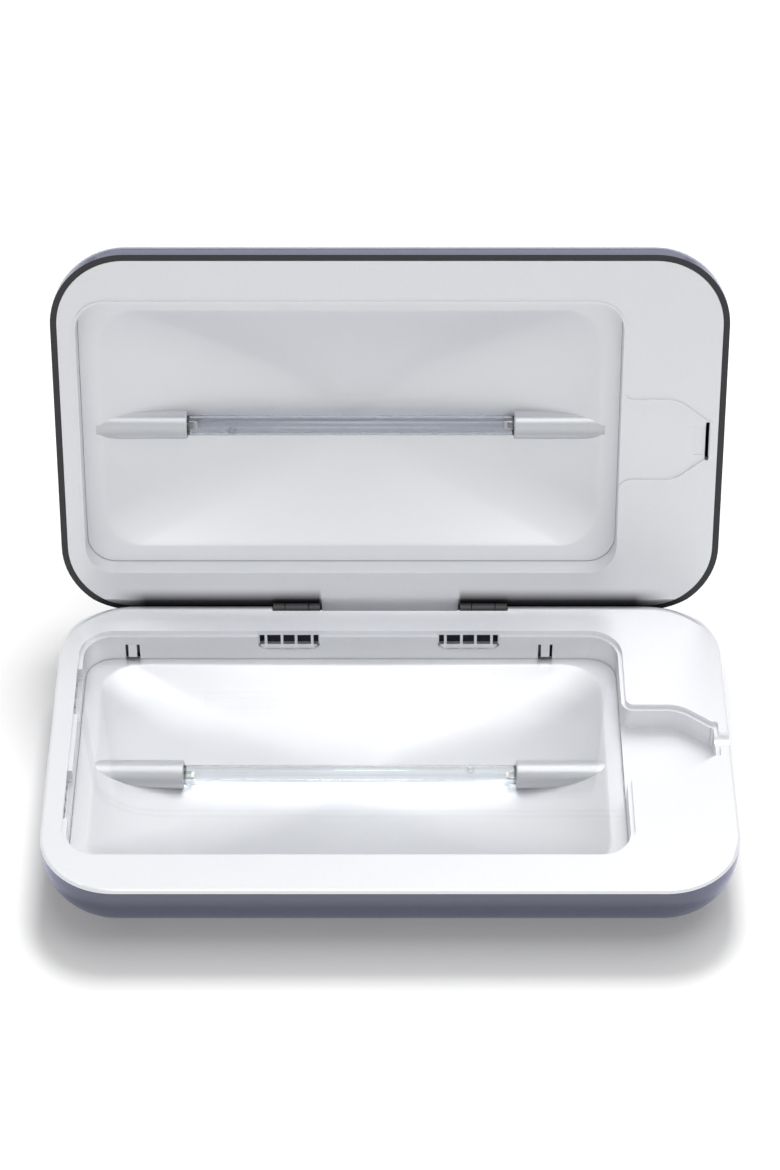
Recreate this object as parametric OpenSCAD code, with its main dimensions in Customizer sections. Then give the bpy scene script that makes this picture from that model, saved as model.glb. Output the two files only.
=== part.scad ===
// Phone sanitizer box: a clamshell with one clear lamp in a polished dish in each half.
// Lengths are in millimetres. The box stands open, its feet on z = 0 and its front towards -Y.

/* [Box] */
// Width of the closed box
box_w = 224; // [216:1:240]
// Depth of the closed box
box_d = 132; // [130:1:140]
// Corner radius seen from above
corner_r = 25; // [24:0.5:30]
// Height of the base without its feet
base_h = 26.6; // [26.4:0.2:30]
// Radius rolled round the lower edge of the base
base_edge_r = 22; // [18:0.5:22.5]
// Thickness of the lid
lid_h = 24; // [23:0.5:28]
// Radius rolled round the outer edge of the lid
lid_edge_r = 21; // [18:0.5:22]
// Wall of both outer shells
shell_wall = 2; // [1.6:0.1:2.2]
// Round on the outer edge of the base rim
rim_round = 1; // [0.8:0.1:1.2]
// Radius of the rim's rear edge, rolled further so that the open lid clears it
rear_round = 4; // [3:0.25:4]
// Gap between the two halves when closed
closed_gap = 0.4; // [0.3:0.05:0.6]

/* [Phone space] */
// Corner radius of the phone opening
cavity_r = 11; // [9:0.5:13]
// Rim left of the opening
left_margin = 6.8; // [6.6:0.1:8]
// Rim right of the opening, with the cable bay in it
right_margin = 33.4; // [32.4:0.1:41]
// Rim in front of the opening
front_margin = 15.6; // [15.2:0.1:16.5]
// Rim behind the opening
rear_margin = 14.4; // [14.2:0.1:18]
// Depth of the rebate round the opening
rebate_h = 1.6; // [1.4:0.1:2]
// Width of the rebate ledge
rebate_w = 1.4; // [1.2:0.1:1.6]
// Clearance below the base dish
dish_gap = 0.6; // [0.5:0.05:0.8]
// Depth of the space in the lid, face to dish flange
lid_space = 8; // [7.5:0.1:8.5]
// Wall of the silver liners
liner_wall = 1.4; // [1.2:0.1:1.6]

/* [Cable bay] */
// Half of the width of the bay for the charging cable
bay_half = 15.8; // [14:0.2:18]
// Rim between the bay and the right face
bay_margin = 3.5; // [3.4:0.1:4.5]
// Depth of the bay
bay_depth = 10; // [9:0.1:10.4]
// Radius of the groove where the cable leaves
exit_r = 2.9; // [2.2:0.1:3.2]

/* [Dishes and lamps] */
// Flange of the base dish at its ends
base_flange_x = 5; // [4.5:0.1:6]
// Flange of the base dish at front and back
base_flange_y = 2.6; // [2.4:0.1:4]
// Flange of the lid dish at its ends
lid_flange_x = 5.9; // [5:0.1:7]
// Flange of the lid dish at front and back
lid_flange_y = 5.6; // [4.5:0.1:7]
// Drop of the base dish below its flange
base_dish = 11.2; // [11:0.1:11.3]
// Drop of the lid dish below its flange
lid_dish = 9.4; // [9.3:0.1:10.5]
// Corner radius of both dishes
dish_r = 13; // [10:0.5:16]
// Thickness of the dishes
dish_t = 0.8; // [0.6:0.1:0.9]
// Thickness of the quartz plate
plate_t = 1.5; // [1.2:0.1:1.6]
// Radius of the lamp tubes
lamp_r = 3.4; // [3:0.1:3.5]
// Wall of the lamp tubes
lamp_wall = 0.7; // [0.5:0.05:0.9]
// Length of the base's lamp caps, tube to pointed end
cap_len = 30.3; // [28.5:0.1:33]
// Radius of the lamp caps
cap_r = 4.8; // [4.7:0.1:5]
// How far a tube runs into its cap
lamp_grip = 6; // [5:0.5:7]

/* [Hinge] */
// Axis inside the rear face
hinge_in = 2.2; // [2:0.1:2.4]
// Axis below the rim
hinge_drop = 1.4; // [1.3:0.05:1.6]
// How far the lid opens
open_angle = 105.6; // [100:0.2:110]
// Radius of the hinge barrels
barrel_r = 2; // [1.8:0.1:2.1]
// Radius of the hinge pins
pin_r = 1; // [0.8:0.05:1.1]
// Clearance between pin and bore
pin_play = 0.05; // [0.03:0.01:0.08]
// Inner end of each hinge
hinge_x0 = 24; // [20:0.5:28]
// Length of each hinge
hinge_len = 16.1; // [14:0.1:20]
// Gap between two barrels
barrel_gap = 0.3; // [0.25:0.05:0.4]

/* [Feet and screws] */
// Height of the feet below the shell
foot_h = 1.2; // [1:0.1:2]
// Radius of the feet
foot_r = 6; // [4:0.5:8]
// Feet from the middle, sideways
foot_x = 76; // [60:1:78]
// Feet from the middle, front to back
foot_y = 32; // [25:1:36]
// Core radius of the case screws
screw_r = 1.25; // [1:0.05:1.4]
// Head radius of the case screws
screw_head_r = 2.5; // [2.2:0.1:2.6]
// Length of the case screws below the head
screw_len = 10; // [8:0.5:11]

/* [Boards and sockets] */
// Length of the two boards, sideways
board_len = 17; // [15:0.5:18]
// Width of the two boards, front to back
board_w = 30; // [28:0.5:31]
// Thickness of the boards
board_t = 1.6; // [1:0.1:1.6]
// Radius of the power inlet
inlet_r = 3.9; // [3.6:0.1:4.1]
// Width of the charging socket
usb_w = 9; // [8.6:0.1:9.4]
// Height of the charging socket
usb_h = 3.2; // [3:0.1:3.4]
// Radius of the lid magnet
magnet_r = 3; // [2:0.1:4]
// Radius of the indicator lens
lens_r = 3; // [2:0.1:3.5]

/* [Hidden] */
$fn = 64;

fit = 0.15;
sliver = 0.01;

// Box faces and the opening
right_x = box_w / 2;
rear_y = box_d / 2;
cav_x0 = -right_x + left_margin;
cav_x1 = right_x - right_margin;
cav_y0 = -rear_y + front_margin;
cav_y1 = rear_y - rear_margin;
cavity_w = cav_x1 - cav_x0;
cavity_d = cav_y1 - cav_y0;
cav_cx = (cav_x0 + cav_x1) / 2;
cav_cy = (cav_y0 + cav_y1) / 2;

// Bay: an arc, a slope and a narrow end
bay_x1 = right_x - bay_margin;
bay_r = 12;
bay_slope = 38;
bay_shoulder = 7.9;
bay_lead = 16.3;
bay_fillet = 2.6;
bay_chamfer = 0.7;

// Levels, measured down from the rim
seam_h = rim_round + 0.2;
rim_t = 2.4;
face_t = 2;
bead_h = 0.9;
bead_in = 0.6;
base_space = base_h - shell_wall - dish_gap - dish_t - base_dish;
shelf_z = -base_space - dish_t;
tray_bottom = shelf_z - liner_wall;
lid_shelf_z = -lid_space - dish_t;
base_cap_z = -base_space - cap_r - 0.2;
lid_cap_z = 0.4 - lid_space - cap_r;
base_lamp_z = base_cap_z - 0.5;
lid_lamp_z = lid_cap_z + 0.4;

// Dishes
dish_power = 4;
cross_power = 2.1;
end_share = 0.34;
side_points = 4;
base_dish_hx = cavity_w / 2 - rebate_w - base_flange_x;
base_dish_hy = cavity_d / 2 - rebate_w - base_flange_y;
lid_dish_hx = cavity_w / 2 - rebate_w - lid_flange_x;
lid_dish_hy = cavity_d / 2 - rebate_w - lid_flange_y;
flange_hx = cavity_w / 2 - rebate_w - fit;
flange_hy = cavity_d / 2 - rebate_w - fit;
flange_r = cavity_r - rebate_w - fit;

// Lamp ends, measured from the middle of the lamp
cap_start = base_dish_hx - cap_len;
boot_start = cap_start + 0.8;
boot_end = cap_start + lamp_grip + 2.8;
boot_r = lamp_r + 0.5;
cap_hollow = boot_end + 2.6;
peg_x = cap_hollow + 3.4;
peg_r = 1.5;
electrode_r = 0.4;
electrode_y = 1.3;
lead_r = 0.8;
lead_x = boot_end + 1.3;
nub_x = cap_start - 15.3;

// Hinge, seen from the closed base
hinge_y = rear_y - hinge_in;
hinge_z = -hinge_drop;
lid_axis_z = hinge_drop + closed_gap;
notch_half = hinge_x0 + hinge_len + 0.3;
notch_y = hinge_y - barrel_r - 0.35;
pocket_z = hinge_z - barrel_r - 2.6;
arm_len = (hinge_len - 2 * barrel_gap) / 4;
stop_gap = 0.3;

// Lip of the lid's liner over the shell's edge, between the hinges
lip_half = hinge_x0 - 0.6;
lip_t = 1.6;
lip_y = hinge_y - 3;

// Sound windows and spring tabs
window_w = 21;
window_top = 2;
window_h = 4.4;
window_rib = 0.9;
window_sill = 7.4;
window_edges = [0, 2.6, 8.1, 12.9, 18.4, window_w];
rear_window_x = [cav_cx - 21.2, cav_cx + 40.1];
side_window_y = [cav_cy - 23.5, cav_cy + 23.5];
tab_x = [cav_cx - 74.7, cav_cx + 66.4];
tab_slot_w = 4.9;
tab_w = 2.9;
tab_top = 5.2;

// Case screws: left of, right of and in front of the opening
screw_inset = 9.8;
screw_y = rear_y - screw_inset;
screw_left = cav_cx - 70.7;
screw_mid = cav_cx + 7.3;
screw_right = cav_cx + 85.3;
screw_places = [
  [screw_left, -screw_y], [screw_mid, -screw_y], [screw_right, -screw_y],
  [screw_left, screw_y], [screw_right, screw_y]
];
screw_seat = -17;
boss_split = -13;
screw_head_h = 1.8;
screw_slot = [2.6, 0.6, 2];
board_screw_r = 1;
board_screw_head = [1.9, 1.2];
board_screw_len = 5.7;
board_screw_slot = [2, 0.5, 1.4];

// Boards right of the dish, in front of and behind the bay
board_x0 = cav_x1 + 1.4;
board_mid = board_x0 + board_len / 2;
board_y0 = bay_half + 3.5;
board_z = -16;
post_in = 3.2;
post_r = 2.6;
board_posts = [
  for (side = [-1, 1], y = [post_in, board_w - post_in])
    [board_mid, cav_cy + side * (board_y0 + y)]
];
switch_y = cav_cy + board_y0 + board_w / 2;
switch_r = 1.3;
switch_z = -rim_t - switch_r - 0.05;

// Parts that stand on the boards
chip = [9, 9, 1.2];
small_can = [1.8, 4.5];
big_can = [3, 7];
can_pitch = 4.5;
core_base = [12, 11, 3];
core_post = [8, 8, 9];
core_gap = 7;

// Sockets in the rear face
port_z = -13.5;
inlet_x = cav_cx + 73.3;
usb_x = inlet_x - 15;

// Snap clips of the lid, in front and behind
clip_left = cav_cx - 56.7;
clip_mid = cav_cx + 13.3;
clip_right = cav_cx + 73.3;
clip_places = [[clip_left, 0], [clip_right, 0], [clip_left, 1], [clip_mid, 1], [clip_right, 1]];
clip_w = 8;

// Indicator in the lid
lens_y = -30;
lens_t = 0.6;
lid_floor = shell_wall - lid_h;

// The open lid reaches furthest back on its rolled outer edge
lid_arm = hinge_y + rear_y - lid_edge_r;
lid_rise = lid_axis_z + lid_h - lid_edge_r;
back_reach = hinge_y - cos(open_angle) * lid_arm + sin(open_angle) * lid_rise + lid_edge_r;
y_shift = -(back_reach - rear_y) / 2;
rim_z = foot_h + base_h;

dark = [0.25, 0.25, 0.30];
silver = [0.84, 0.85, 0.87];
bright = [0.93, 0.94, 0.95];
glass = [0.80, 0.88, 0.92, 0.5];
rubber = [0.15, 0.15, 0.16];
steel = [0.62, 0.63, 0.65];
board = [0.10, 0.38, 0.22];
copper = [0.72, 0.45, 0.20];

// Puts a piece drawn with the rim at z = 0 into the standing base
module in_base() {
  translate([0, y_shift, rim_z]) children();
}

// Puts a piece drawn with the lid's face at z = 0, depth downwards, into the open lid
module in_lid() {
  translate([0, y_shift + hinge_y, rim_z + hinge_z])
    rotate([-open_angle, 0, 0])
      translate([0, -hinge_y, lid_axis_z])
        mirror([0, 0, 1])
          children();
}

module rounded_rect(x0, x1, y0, y1, r) {
  translate([x0 + r, y0]) square([x1 - x0 - 2 * r, y1 - y0]);
  translate([x0, y0 + r]) square([x1 - x0, y1 - y0 - 2 * r]);
  for (x = [x0 + r, x1 - r], y = [y0 + r, y1 - r]) translate([x, y]) circle(r);
}

module centred_rect(w, d, r) {
  rounded_rect(-w / 2, w / 2, -d / 2, d / 2, r);
}

// Half of the side view of a pillow, from its middle out to reach
module half_section(reach, h, edge_r) {
  intersection() {
    translate([0, -h]) square([reach, h]);
    union() {
      translate([0, -h]) square([reach - edge_r, h]);
      translate([0, edge_r - h]) square([reach, h - edge_r]);
      translate([reach - edge_r, edge_r - h]) circle(edge_r, $fn = 96);
    }
  }
}

module full_section(reach, h, edge_r) {
  half_section(reach, h, edge_r);
  mirror([1, 0]) half_section(reach, h, edge_r);
}

// Rounded block with a flat top at z = 0 and a rolled lower edge
module pillow(w, d, h, edge_r, plan_r) {
  rotate([90, 0, 90])
    linear_extrude(w - 2 * plan_r, center = true) full_section(d / 2, h, edge_r);
  rotate([90, 0, 0])
    linear_extrude(d - 2 * plan_r, center = true) full_section(w / 2, h, edge_r);
  for (x = [-1, 1], y = [-1, 1])
    translate([x * (w / 2 - plan_r), y * (d / 2 - plan_r), 0])
      rotate_extrude() half_section(plan_r, h, edge_r);
}

// Outside of a shell drawn in by a wall
module shell_block(h, edge_r, wall = 0, lift = 0) {
  translate([0, 0, lift])
    pillow(box_w - 2 * wall, box_d - 2 * wall, h - wall + lift, edge_r - wall, corner_r - wall);
}

// Keeps what lies inside the base's rolled rear edge
// The form that cuts it is wider than the base, so the roll fades out at the corners
module inside_rear_roll() {
  wider = 6;
  intersection() {
    children();
    translate([0, -wider, -base_h]) mirror([0, 0, 1])
      pillow(box_w + 2 * wider, box_d + 2 * wider, base_h, rear_round, corner_r + wider);
  }
}

// Upper half of the bay's outline, drawn in by e
function bay_points(e) =
  let (
    arc_x = bay_x1 - bay_lead,
    arc_r = bay_r - e,
    arc_y = bay_half - bay_r,
    end_y = bay_shoulder - e,
    slope_x = arc_x + arc_r * sin(bay_slope),
    slope_y = arc_y + arc_r * cos(bay_slope)
  )
  concat(
    [[cav_x1 - bay_r, 0], [cav_x1 - bay_r, bay_half - e]],
    [for (i = [0:6]) [arc_x + arc_r * sin(bay_slope * i / 6), arc_y + arc_r * cos(bay_slope * i / 6)]],
    [
      [slope_x + (slope_y - end_y) / tan(bay_slope), end_y],
      [bay_x1 - e - bay_chamfer, end_y],
      [bay_x1 - e, end_y - bay_chamfer],
      [bay_x1 - e, 0]
    ]
  );

module bay_outline(e) {
  translate([0, cav_cy]) polygon(bay_points(e));
  translate([0, cav_cy]) mirror([0, 1]) polygon(bay_points(e));
}

// Round between the opening and the bay
module bay_roots(e) {
  r = bay_fillet + e;
  for (side = [0, 1])
    translate([cav_x1 - e, cav_cy]) mirror([0, side]) translate([0, bay_half - e])
      difference() {
        translate([-1, -1]) square(r + 1);
        translate([r, r]) circle(r);
      }
}

module main_outline(e) {
  rounded_rect(cav_x0 + e, cav_x1 - e, cav_y0 + e, cav_y1 - e, cavity_r - e);
}

module opening_outline(e) {
  main_outline(e);
  bay_outline(e);
  bay_roots(e);
}

// Points of one ring of a dish: a rectangle with round corners
function ring_point(hx, hy, r, corner, a) =
  let (sx = (corner == 0 || corner == 3) ? 1 : -1, sy = corner < 2 ? 1 : -1)
  [sx * (hx - r) + r * cos(90 * corner + a), sy * (hy - r) + r * sin(90 * corner + a)];

function ring(hx, hy, r, z, steps) =
  [for (c = [0:3], i = [0:steps]) let (p = ring_point(hx, hy, r, c, 90 * i / steps)) [p[0], p[1], z]];

// A ring with points along its long sides too, sunk to the surface of the dish:
// the floor falls faster from the ends than from the front and back
function sunk_ring(hx, hy, r, s, drop, steps) =
  let (n = steps + 1, flat = ring(hx * s, hy * s, r, 0, steps))
  [for (k = [0:3], i = [0:n - 1 + (k % 2 == 0 ? side_points : 0)])
    let (
      last = flat[k * n + steps],
      next = flat[((k + 1) % 4) * n],
      p = i < n ? flat[k * n + i] : last + (next - last) * (i - steps) / (side_points + 1),
      u = pow(p[0] / hx, 2),
      v = pow(p[1] / hy, 2),
      turn = max(0, (v / (u + v) - end_share) / (1 - end_share)),
      bend = dish_power - (dish_power - cross_power) * turn * turn * (3 - 2 * turn)
    )
    [p[0], p[1], -drop * (1 - pow(s, bend))]];
// Height of a dish's surface above its flange at a distance from the middle, along the lamp
function dish_z(x, hx, drop) = -drop * (1 - pow(min(1, x / hx), dish_power));

dish_shares = [1, 0.975, 0.95, 0.92, 0.88, 0.83, 0.77, 0.7, 0.6, 0.48, 0.32];

// Dish: a flange round a bowl
module dish_sheet(hx, hy, drop) {
  steps = 6;
  n = 4 * (steps + 1) + 2 * side_points;
  soft = 16;
  top = concat(
    [sunk_ring(flange_hx, flange_hy, flange_r, 1, 0, steps)],
    [for (s = dish_shares)
      sunk_ring(hx, hy, min(hy * s * 0.96, dish_r * s + soft * (1 - s)), s, drop, steps)]
  );
  rings = len(top);
  flat_top = [for (row = top) each row];
  count = len(flat_top);
  points = concat(
    flat_top, [[0, 0, -drop]],
    [for (p = flat_top) [p[0], p[1], p[2] - dish_t]], [[0, 0, -drop - dish_t]]
  );
  low = count + 1;
  faces = concat(
    [for (k = [0:rings - 2], i = [0:n - 1]) let (j = (i + 1) % n)
      each [[k * n + i, (k + 1) * n + i, (k + 1) * n + j], [k * n + i, (k + 1) * n + j, k * n + j]]],
    [for (i = [0:n - 1]) [(rings - 1) * n + i, count, (rings - 1) * n + (i + 1) % n]],
    [for (k = [0:rings - 2], i = [0:n - 1]) let (j = (i + 1) % n)
      each [[low + k * n + i, low + (k + 1) * n + j, low + (k + 1) * n + i],
        [low + k * n + i, low + k * n + j, low + (k + 1) * n + j]]],
    [for (i = [0:n - 1]) [low + (rings - 1) * n + i, low + (rings - 1) * n + (i + 1) % n, low + count]],
    [for (i = [0:n - 1]) let (j = (i + 1) % n) each [[i, j, low + j], [i, low + j, low + i]]]
  );
  polyhedron(points, faces);
}

// Dish with the slots and peg holes that its lamp caps cover
module dish(hx, hy, drop, lamp_drop) {
  steps = 6;
  touch = hx * pow(max(0.01, 1 - (lamp_drop + lamp_r + fit) / drop), 1 / dish_power);
  from = min(boot_start - 0.3, touch - 0.5);
  slot_x = [for (i = [0:steps]) from + (cap_hollow - from) * i / steps];
  halves = [
    for (x = slot_x)
      fit + sqrt(max(1, pow(boot_r + fit, 2) - pow(lamp_drop + dish_z(x, hx, drop), 2)))
  ];
  difference() {
    dish_sheet(hx, hy, drop);
    for (side = [0, 1]) mirror([side, 0, 0]) {
      translate([0, 0, -drop - 2])
        linear_extrude(drop + 4)
          polygon(concat(
            [for (i = [0:steps]) [slot_x[i], halves[i]]],
            [for (i = [steps:-1:0]) [slot_x[i], -halves[i]]]
          ));
      translate([peg_x, 0, -drop - 2]) cylinder(drop + 4, r = peg_r + fit);
    }
  }
}

// Lamp tube along X with its tip-off nub at a distance from the middle
module lamp(tip_x, tip_turn) {
  half = cap_start + lamp_grip;
  difference() {
    union() {
      rotate([0, 90, 0]) cylinder(2 * half, r = lamp_r, center = true);
      translate([tip_x, 0, 0]) rotate([tip_turn, 0, 0]) translate([0, 0, lamp_r - 0.4])
        cylinder(1.5, r1 = 1.3, r2 = 0.5);
    }
    rotate([0, 90, 0]) cylinder(2 * (half - 1.2), r = lamp_r - lamp_wall, center = true);
    for (y = [-1, 1]) translate([0, y * electrode_y, 0]) rotate([0, 90, 0])
      cylinder(2 * half + 1, r = electrode_r + 0.02, center = true);
  }
}

// Lead-in wires and the filament across them, at both ends of a tube
module electrodes() {
  for (side = [0, 1]) mirror([side, 0, 0]) {
    for (y = [-1, 1]) translate([cap_start - 3, y * electrode_y, 0]) rotate([0, 90, 0])
      cylinder(boot_end - cap_start + 2, r = electrode_r);
    translate([cap_start - 2.6, 0, 0]) rotate([90, 0, 0])
      cylinder(2 * electrode_y, r = 0.55, center = true);
  }
}

// Rubber boots that carry a tube's ends inside its caps
module boots() {
  tube_end = cap_start + lamp_grip - boot_start;
  for (side = [0, 1]) mirror([side, 0, 0]) translate([boot_start, 0, 0]) rotate([0, 90, 0])
    difference() {
      cylinder(boot_end - boot_start, r = boot_r);
      translate([0, 0, -1]) cylinder(tube_end + 1, r = lamp_r + 0.02);
      for (y = [-1, 1]) translate([0, y * electrode_y, 0]) cylinder(20, r = electrode_r + 0.02);
    }
}

// Round wire through a list of points
module wire(points) {
  for (i = [0:len(points) - 2]) {
    run = points[i + 1] - points[i];
    translate(points[i]) rotate([0, acos(run[2] / norm(run)), atan2(run[1], run[0])])
      cylinder(norm(run), r = lead_r);
  }
  for (i = [1:len(points) - 2]) translate(points[i]) sphere(lead_r);
}

// Bar with a rounded collar edge at its inner end
module cap_bar(length) {
  edge = 0.6;
  rotate_extrude() {
    translate([0, edge]) square([cap_r, length - edge]);
    square([cap_r - edge, length]);
    translate([cap_r - edge, edge]) circle(edge);
  }
}

// Cap over a lamp's end: a round bar cut to the rising floor of the dish, staked through it by a peg
module lamp_cap(side, cap_z, lamp_z, hx, drop, space) {
  lift = 0.12;
  floor_points = [for (i = [len(dish_shares) - 1:-1:0]) let (x = hx * dish_shares[i])
    if (x > cap_start - 8) [x, dish_z(x, hx, drop) - space + lift]];
  peg_low = dish_z(peg_x, hx, drop) - space - dish_t - 2.2;
  translate([cav_cx, cav_cy, 0]) mirror([side, 0, 0]) {
    difference() {
      intersection() {
        translate([cap_start, 0, cap_z]) rotate([0, 90, 0]) cap_bar(hx + 1.2 - cap_start);
        rotate([90, 0, 0])
          linear_extrude(4 * cap_r, center = true)
            polygon(concat(floor_points, [[hx + 3, lift - space], [hx + 3, 5], [floor_points[0][0], 5]]));
      }
      translate([cap_start - 1, 0, lamp_z]) rotate([0, 90, 0])
        cylinder(cap_hollow - cap_start + 1, r = boot_r + 0.05);
    }
    translate([peg_x, 0, peg_low]) cylinder(6, r = peg_r);
    translate([peg_x, 0, peg_low]) cylinder(0.8, r = peg_r + 0.9);
  }
}

module at_screws() {
  for (p = screw_places) translate([p[0], p[1], 0]) children();
}

module at_board_posts() {
  for (p = board_posts) translate([p[0], p[1], 0]) children();
}

module at_feet() {
  for (x = [-foot_x, foot_x], y = [-foot_y, foot_y]) translate([x, y, -base_h]) children();
}

module at_hinges() {
  for (side = [0, 1]) mirror([side, 0, 0]) translate([hinge_x0, hinge_y, 0]) children();
}

// Carries a piece drawn against a wall at y = 0 to each of the four windows
module at_windows() {
  for (x = rear_window_x) translate([x, cav_y1 - rebate_w, 0]) children();
  for (y = side_window_y) translate([cav_x0 + rebate_w, y, 0]) rotate([0, 0, 90]) children();
}

module at_tabs() {
  for (x = tab_x) {
    translate([x, cav_y1 - rebate_w, 0]) children();
    translate([x, cav_y0 + rebate_w, 0]) mirror([0, 1, 0]) children();
  }
}

// Barrel round the hinge axis between two distances from its inner end
module barrel(from, to, z) {
  translate([from, 0, z]) rotate([0, 90, 0]) cylinder(to - from, r = barrel_r);
}

// Sound window: a recess that breaks the ledge, with five openings between four ribs
module window_cut() {
  lip = rebate_w + 0.1;
  half = window_w / 2;
  corner = 1.8;
  rotate([90, 0, 0])
    translate([0, 0, -lip])
      linear_extrude(lip + 1)
        polygon([
          [-half, 0.5], [-half, corner - window_sill], [corner - half, -window_sill],
          [half - corner, -window_sill], [half, corner - window_sill], [half, 0.5]
        ]);
  for (i = [0:4])
    translate([window_edges[i] + window_rib / 2 - half, 0, -window_top - window_h])
      cube([window_edges[i + 1] - window_edges[i] - window_rib, rebate_w + liner_wall + 2, window_h]);
}

module window_boss() {
  translate([-window_w / 2 - 1.2, 0.1, -window_sill - 1.2])
    cube([window_w + 2.4, rebate_w + liner_wall, window_sill]);
}

module tab_slot() {
  translate([-tab_slot_w / 2, -0.5, -base_space])
    cube([tab_slot_w, liner_wall + 1, base_space - tab_top]);
}

// Springy tab whose nose holds the quartz plate down
module tab_tongue() {
  nose = base_space - plate_t - 0.3;
  translate([-tab_w / 2, 0, 0])
    rotate([90, 0, 90])
      linear_extrude(tab_w)
        polygon([
          [liner_wall - 0.1, 0.5 - tab_top], [0.1, 0.5 - tab_top], [0.1, -tab_top], [-0.9, 0.6 - nose],
          [-0.9, -nose], [0.3, -nose], [liner_wall - 0.1, -tab_top - 1.5]
        ]);
}

// Half-round bar along X under the rim, for the cable's exit
module exit_bar(from, to, r, top) {
  translate([from, cav_cy, 0]) rotate([90, 0, 90]) linear_extrude(to - from) intersection() {
    circle(r);
    translate([-r, -r]) square([2 * r, r + top]);
  }
}

module base_shell() {
  pocket_floor = 1.6;
  color(dark) in_base() difference() {
    union() {
      difference() {
        inside_rear_roll() shell_block(base_h, base_edge_r);
        shell_block(base_h, base_edge_r, shell_wall, 1);
        translate([-right_x - 1, -rear_y - 1, -seam_h]) cube([box_w + 2, box_d + 2, 5]);
        translate([-notch_half, notch_y, pocket_z]) cube([2 * notch_half, 20, 20]);
      }
      intersection() {
        shell_block(base_h, base_edge_r);
        union() {
          translate([-notch_half - 1.5, notch_y - 1.4, pocket_z - pocket_floor])
            cube([2 * notch_half + 3, 20, pocket_floor]);
          at_screws() translate([0, 0, -base_h]) cylinder(base_h + boss_split, r = screw_head_r + 1.3);
          at_board_posts() translate([0, 0, -base_h]) cylinder(base_h + board_z, r = post_r);
          for (x = [-2, 0.4])
            translate([inlet_x + x, cav_y1 + 1, -base_h]) cube([1.6, 4.6, base_h + port_z - inlet_r - 0.3]);
          for (x = [-3, 1.4])
            translate([usb_x + x, cav_y1 + 2, -base_h]) cube([1.6, 4.6, base_h + port_z - usb_h / 2 - 0.2]);
        }
      }
      at_hinges() {
        from = arm_len + barrel_gap;
        to = hinge_len - arm_len - barrel_gap;
        barrel(from, to, hinge_z);
        translate([from, -1.6, pocket_z - 1]) cube([to - from, 3.2, hinge_z - pocket_z + 1]);
      }
    }
    at_hinges() translate([0, 0, hinge_z]) rotate([0, 90, 0]) cylinder(hinge_len, r = pin_r + pin_play);
    at_screws() {
      translate([0, 0, -base_h - 1]) cylinder(base_h + 1 + screw_seat, r = screw_head_r + 0.3);
      translate([0, 0, screw_seat - 1]) cylinder(12, r = screw_r + 0.15);
    }
    at_board_posts() translate([0, 0, board_z - 5]) cylinder(6, r = board_screw_r + 0.02);
    at_feet() translate([0, 0, -1]) cylinder(1.8, r = foot_r + 0.1);
    translate([inlet_x, rear_y - 12, port_z]) rotate([-90, 0, 0]) cylinder(20, r = inlet_r + fit);
    translate([usb_x, rear_y - 12, port_z]) rotate([-90, 0, 0])
      linear_extrude(20) centred_rect(usb_w + 2 * fit, usb_h + 2 * fit, usb_h / 2 + fit - sliver);
    exit_bar(right_x - shell_wall - 1, right_x + 1, exit_r + 1.2 + fit, 3);
    for (x = rear_window_x, i = [-2:2])
      translate([x + 4 * i - 1.2, rear_y - 12, -12.6]) cube([2.4, 20, 4.4]);
  }
}

module base_tray() {
  room = shell_wall + fit;
  wall_e = rebate_w - liner_wall;
  color(silver) in_base() {
    difference() {
      union() {
        inside_rear_roll() translate([0, 0, -seam_h]) mirror([0, 0, 1])
          pillow(box_w, box_d, seam_h, rim_round, corner_r);
        translate([0, 0, -rim_t]) linear_extrude(rim_t - seam_h + sliver)
          centred_rect(box_w - 2 * room, box_d - 2 * room, corner_r - room);
        translate([0, 0, tray_bottom]) linear_extrude(-tray_bottom - seam_h) main_outline(wall_e);
        intersection() {
          translate([0, 0, -bay_depth - liner_wall])
            linear_extrude(bay_depth + liner_wall - seam_h) bay_outline(wall_e);
          shell_block(base_h, base_edge_r, room);
        }
        at_windows() window_boss();
        at_screws() translate([0, 0, boss_split + 0.1]) cylinder(-boss_split - seam_h - 0.1, r = 3.2);
        exit_bar(bay_x1 - rebate_w - 1, right_x, exit_r + 1.2, -seam_h);
        translate([-notch_half - 1.4, notch_y - 1.4, pocket_z + 0.2])
          cube([2 * notch_half + 2.8, rear_y - room - notch_y + 1.4, -pocket_z - 0.2 - seam_h]);
        for (x = [-5, 3]) translate([board_mid + x, switch_y - 2.2, switch_z - 1])
          cube([2, 4.4, -switch_z + 1 - seam_h]);
      }
      translate([0, 0, -rebate_h]) linear_extrude(rebate_h + 5) opening_outline(0);
      translate([0, 0, shelf_z]) linear_extrude(-shelf_z) main_outline(rebate_w);
      translate([0, 0, -bay_depth]) linear_extrude(bay_depth) {
        bay_outline(rebate_w);
        bay_roots(rebate_w);
      }
      translate([cav_cx, cav_cy, tray_bottom - 1])
        linear_extrude(shelf_z - tray_bottom + 2)
          centred_rect(2 * base_dish_hx + 0.6, 2 * base_dish_hy + 0.6, dish_r + 0.3);
      exit_bar(bay_x1 - rebate_w - 2, right_x + 2, exit_r, 2);
      translate([-notch_half, notch_y, pocket_z - 1]) cube([2 * notch_half, 20, -pocket_z + 5]);
      at_windows() window_cut();
      at_tabs() tab_slot();
      at_screws() translate([0, 0, boss_split - 1]) cylinder(-boss_split - rim_t + 1, r = screw_r + 0.03);
      translate([board_mid - 8, switch_y, switch_z]) rotate([0, 90, 0]) cylinder(16, r = switch_r + 0.03);
    }
    at_tabs() tab_tongue();
  }
}

module base_reflector() {
  color(bright) in_base() translate([cav_cx, cav_cy, -base_space])
    dish(base_dish_hx, base_dish_hy, base_dish, -base_space - base_lamp_z);
}

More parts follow.
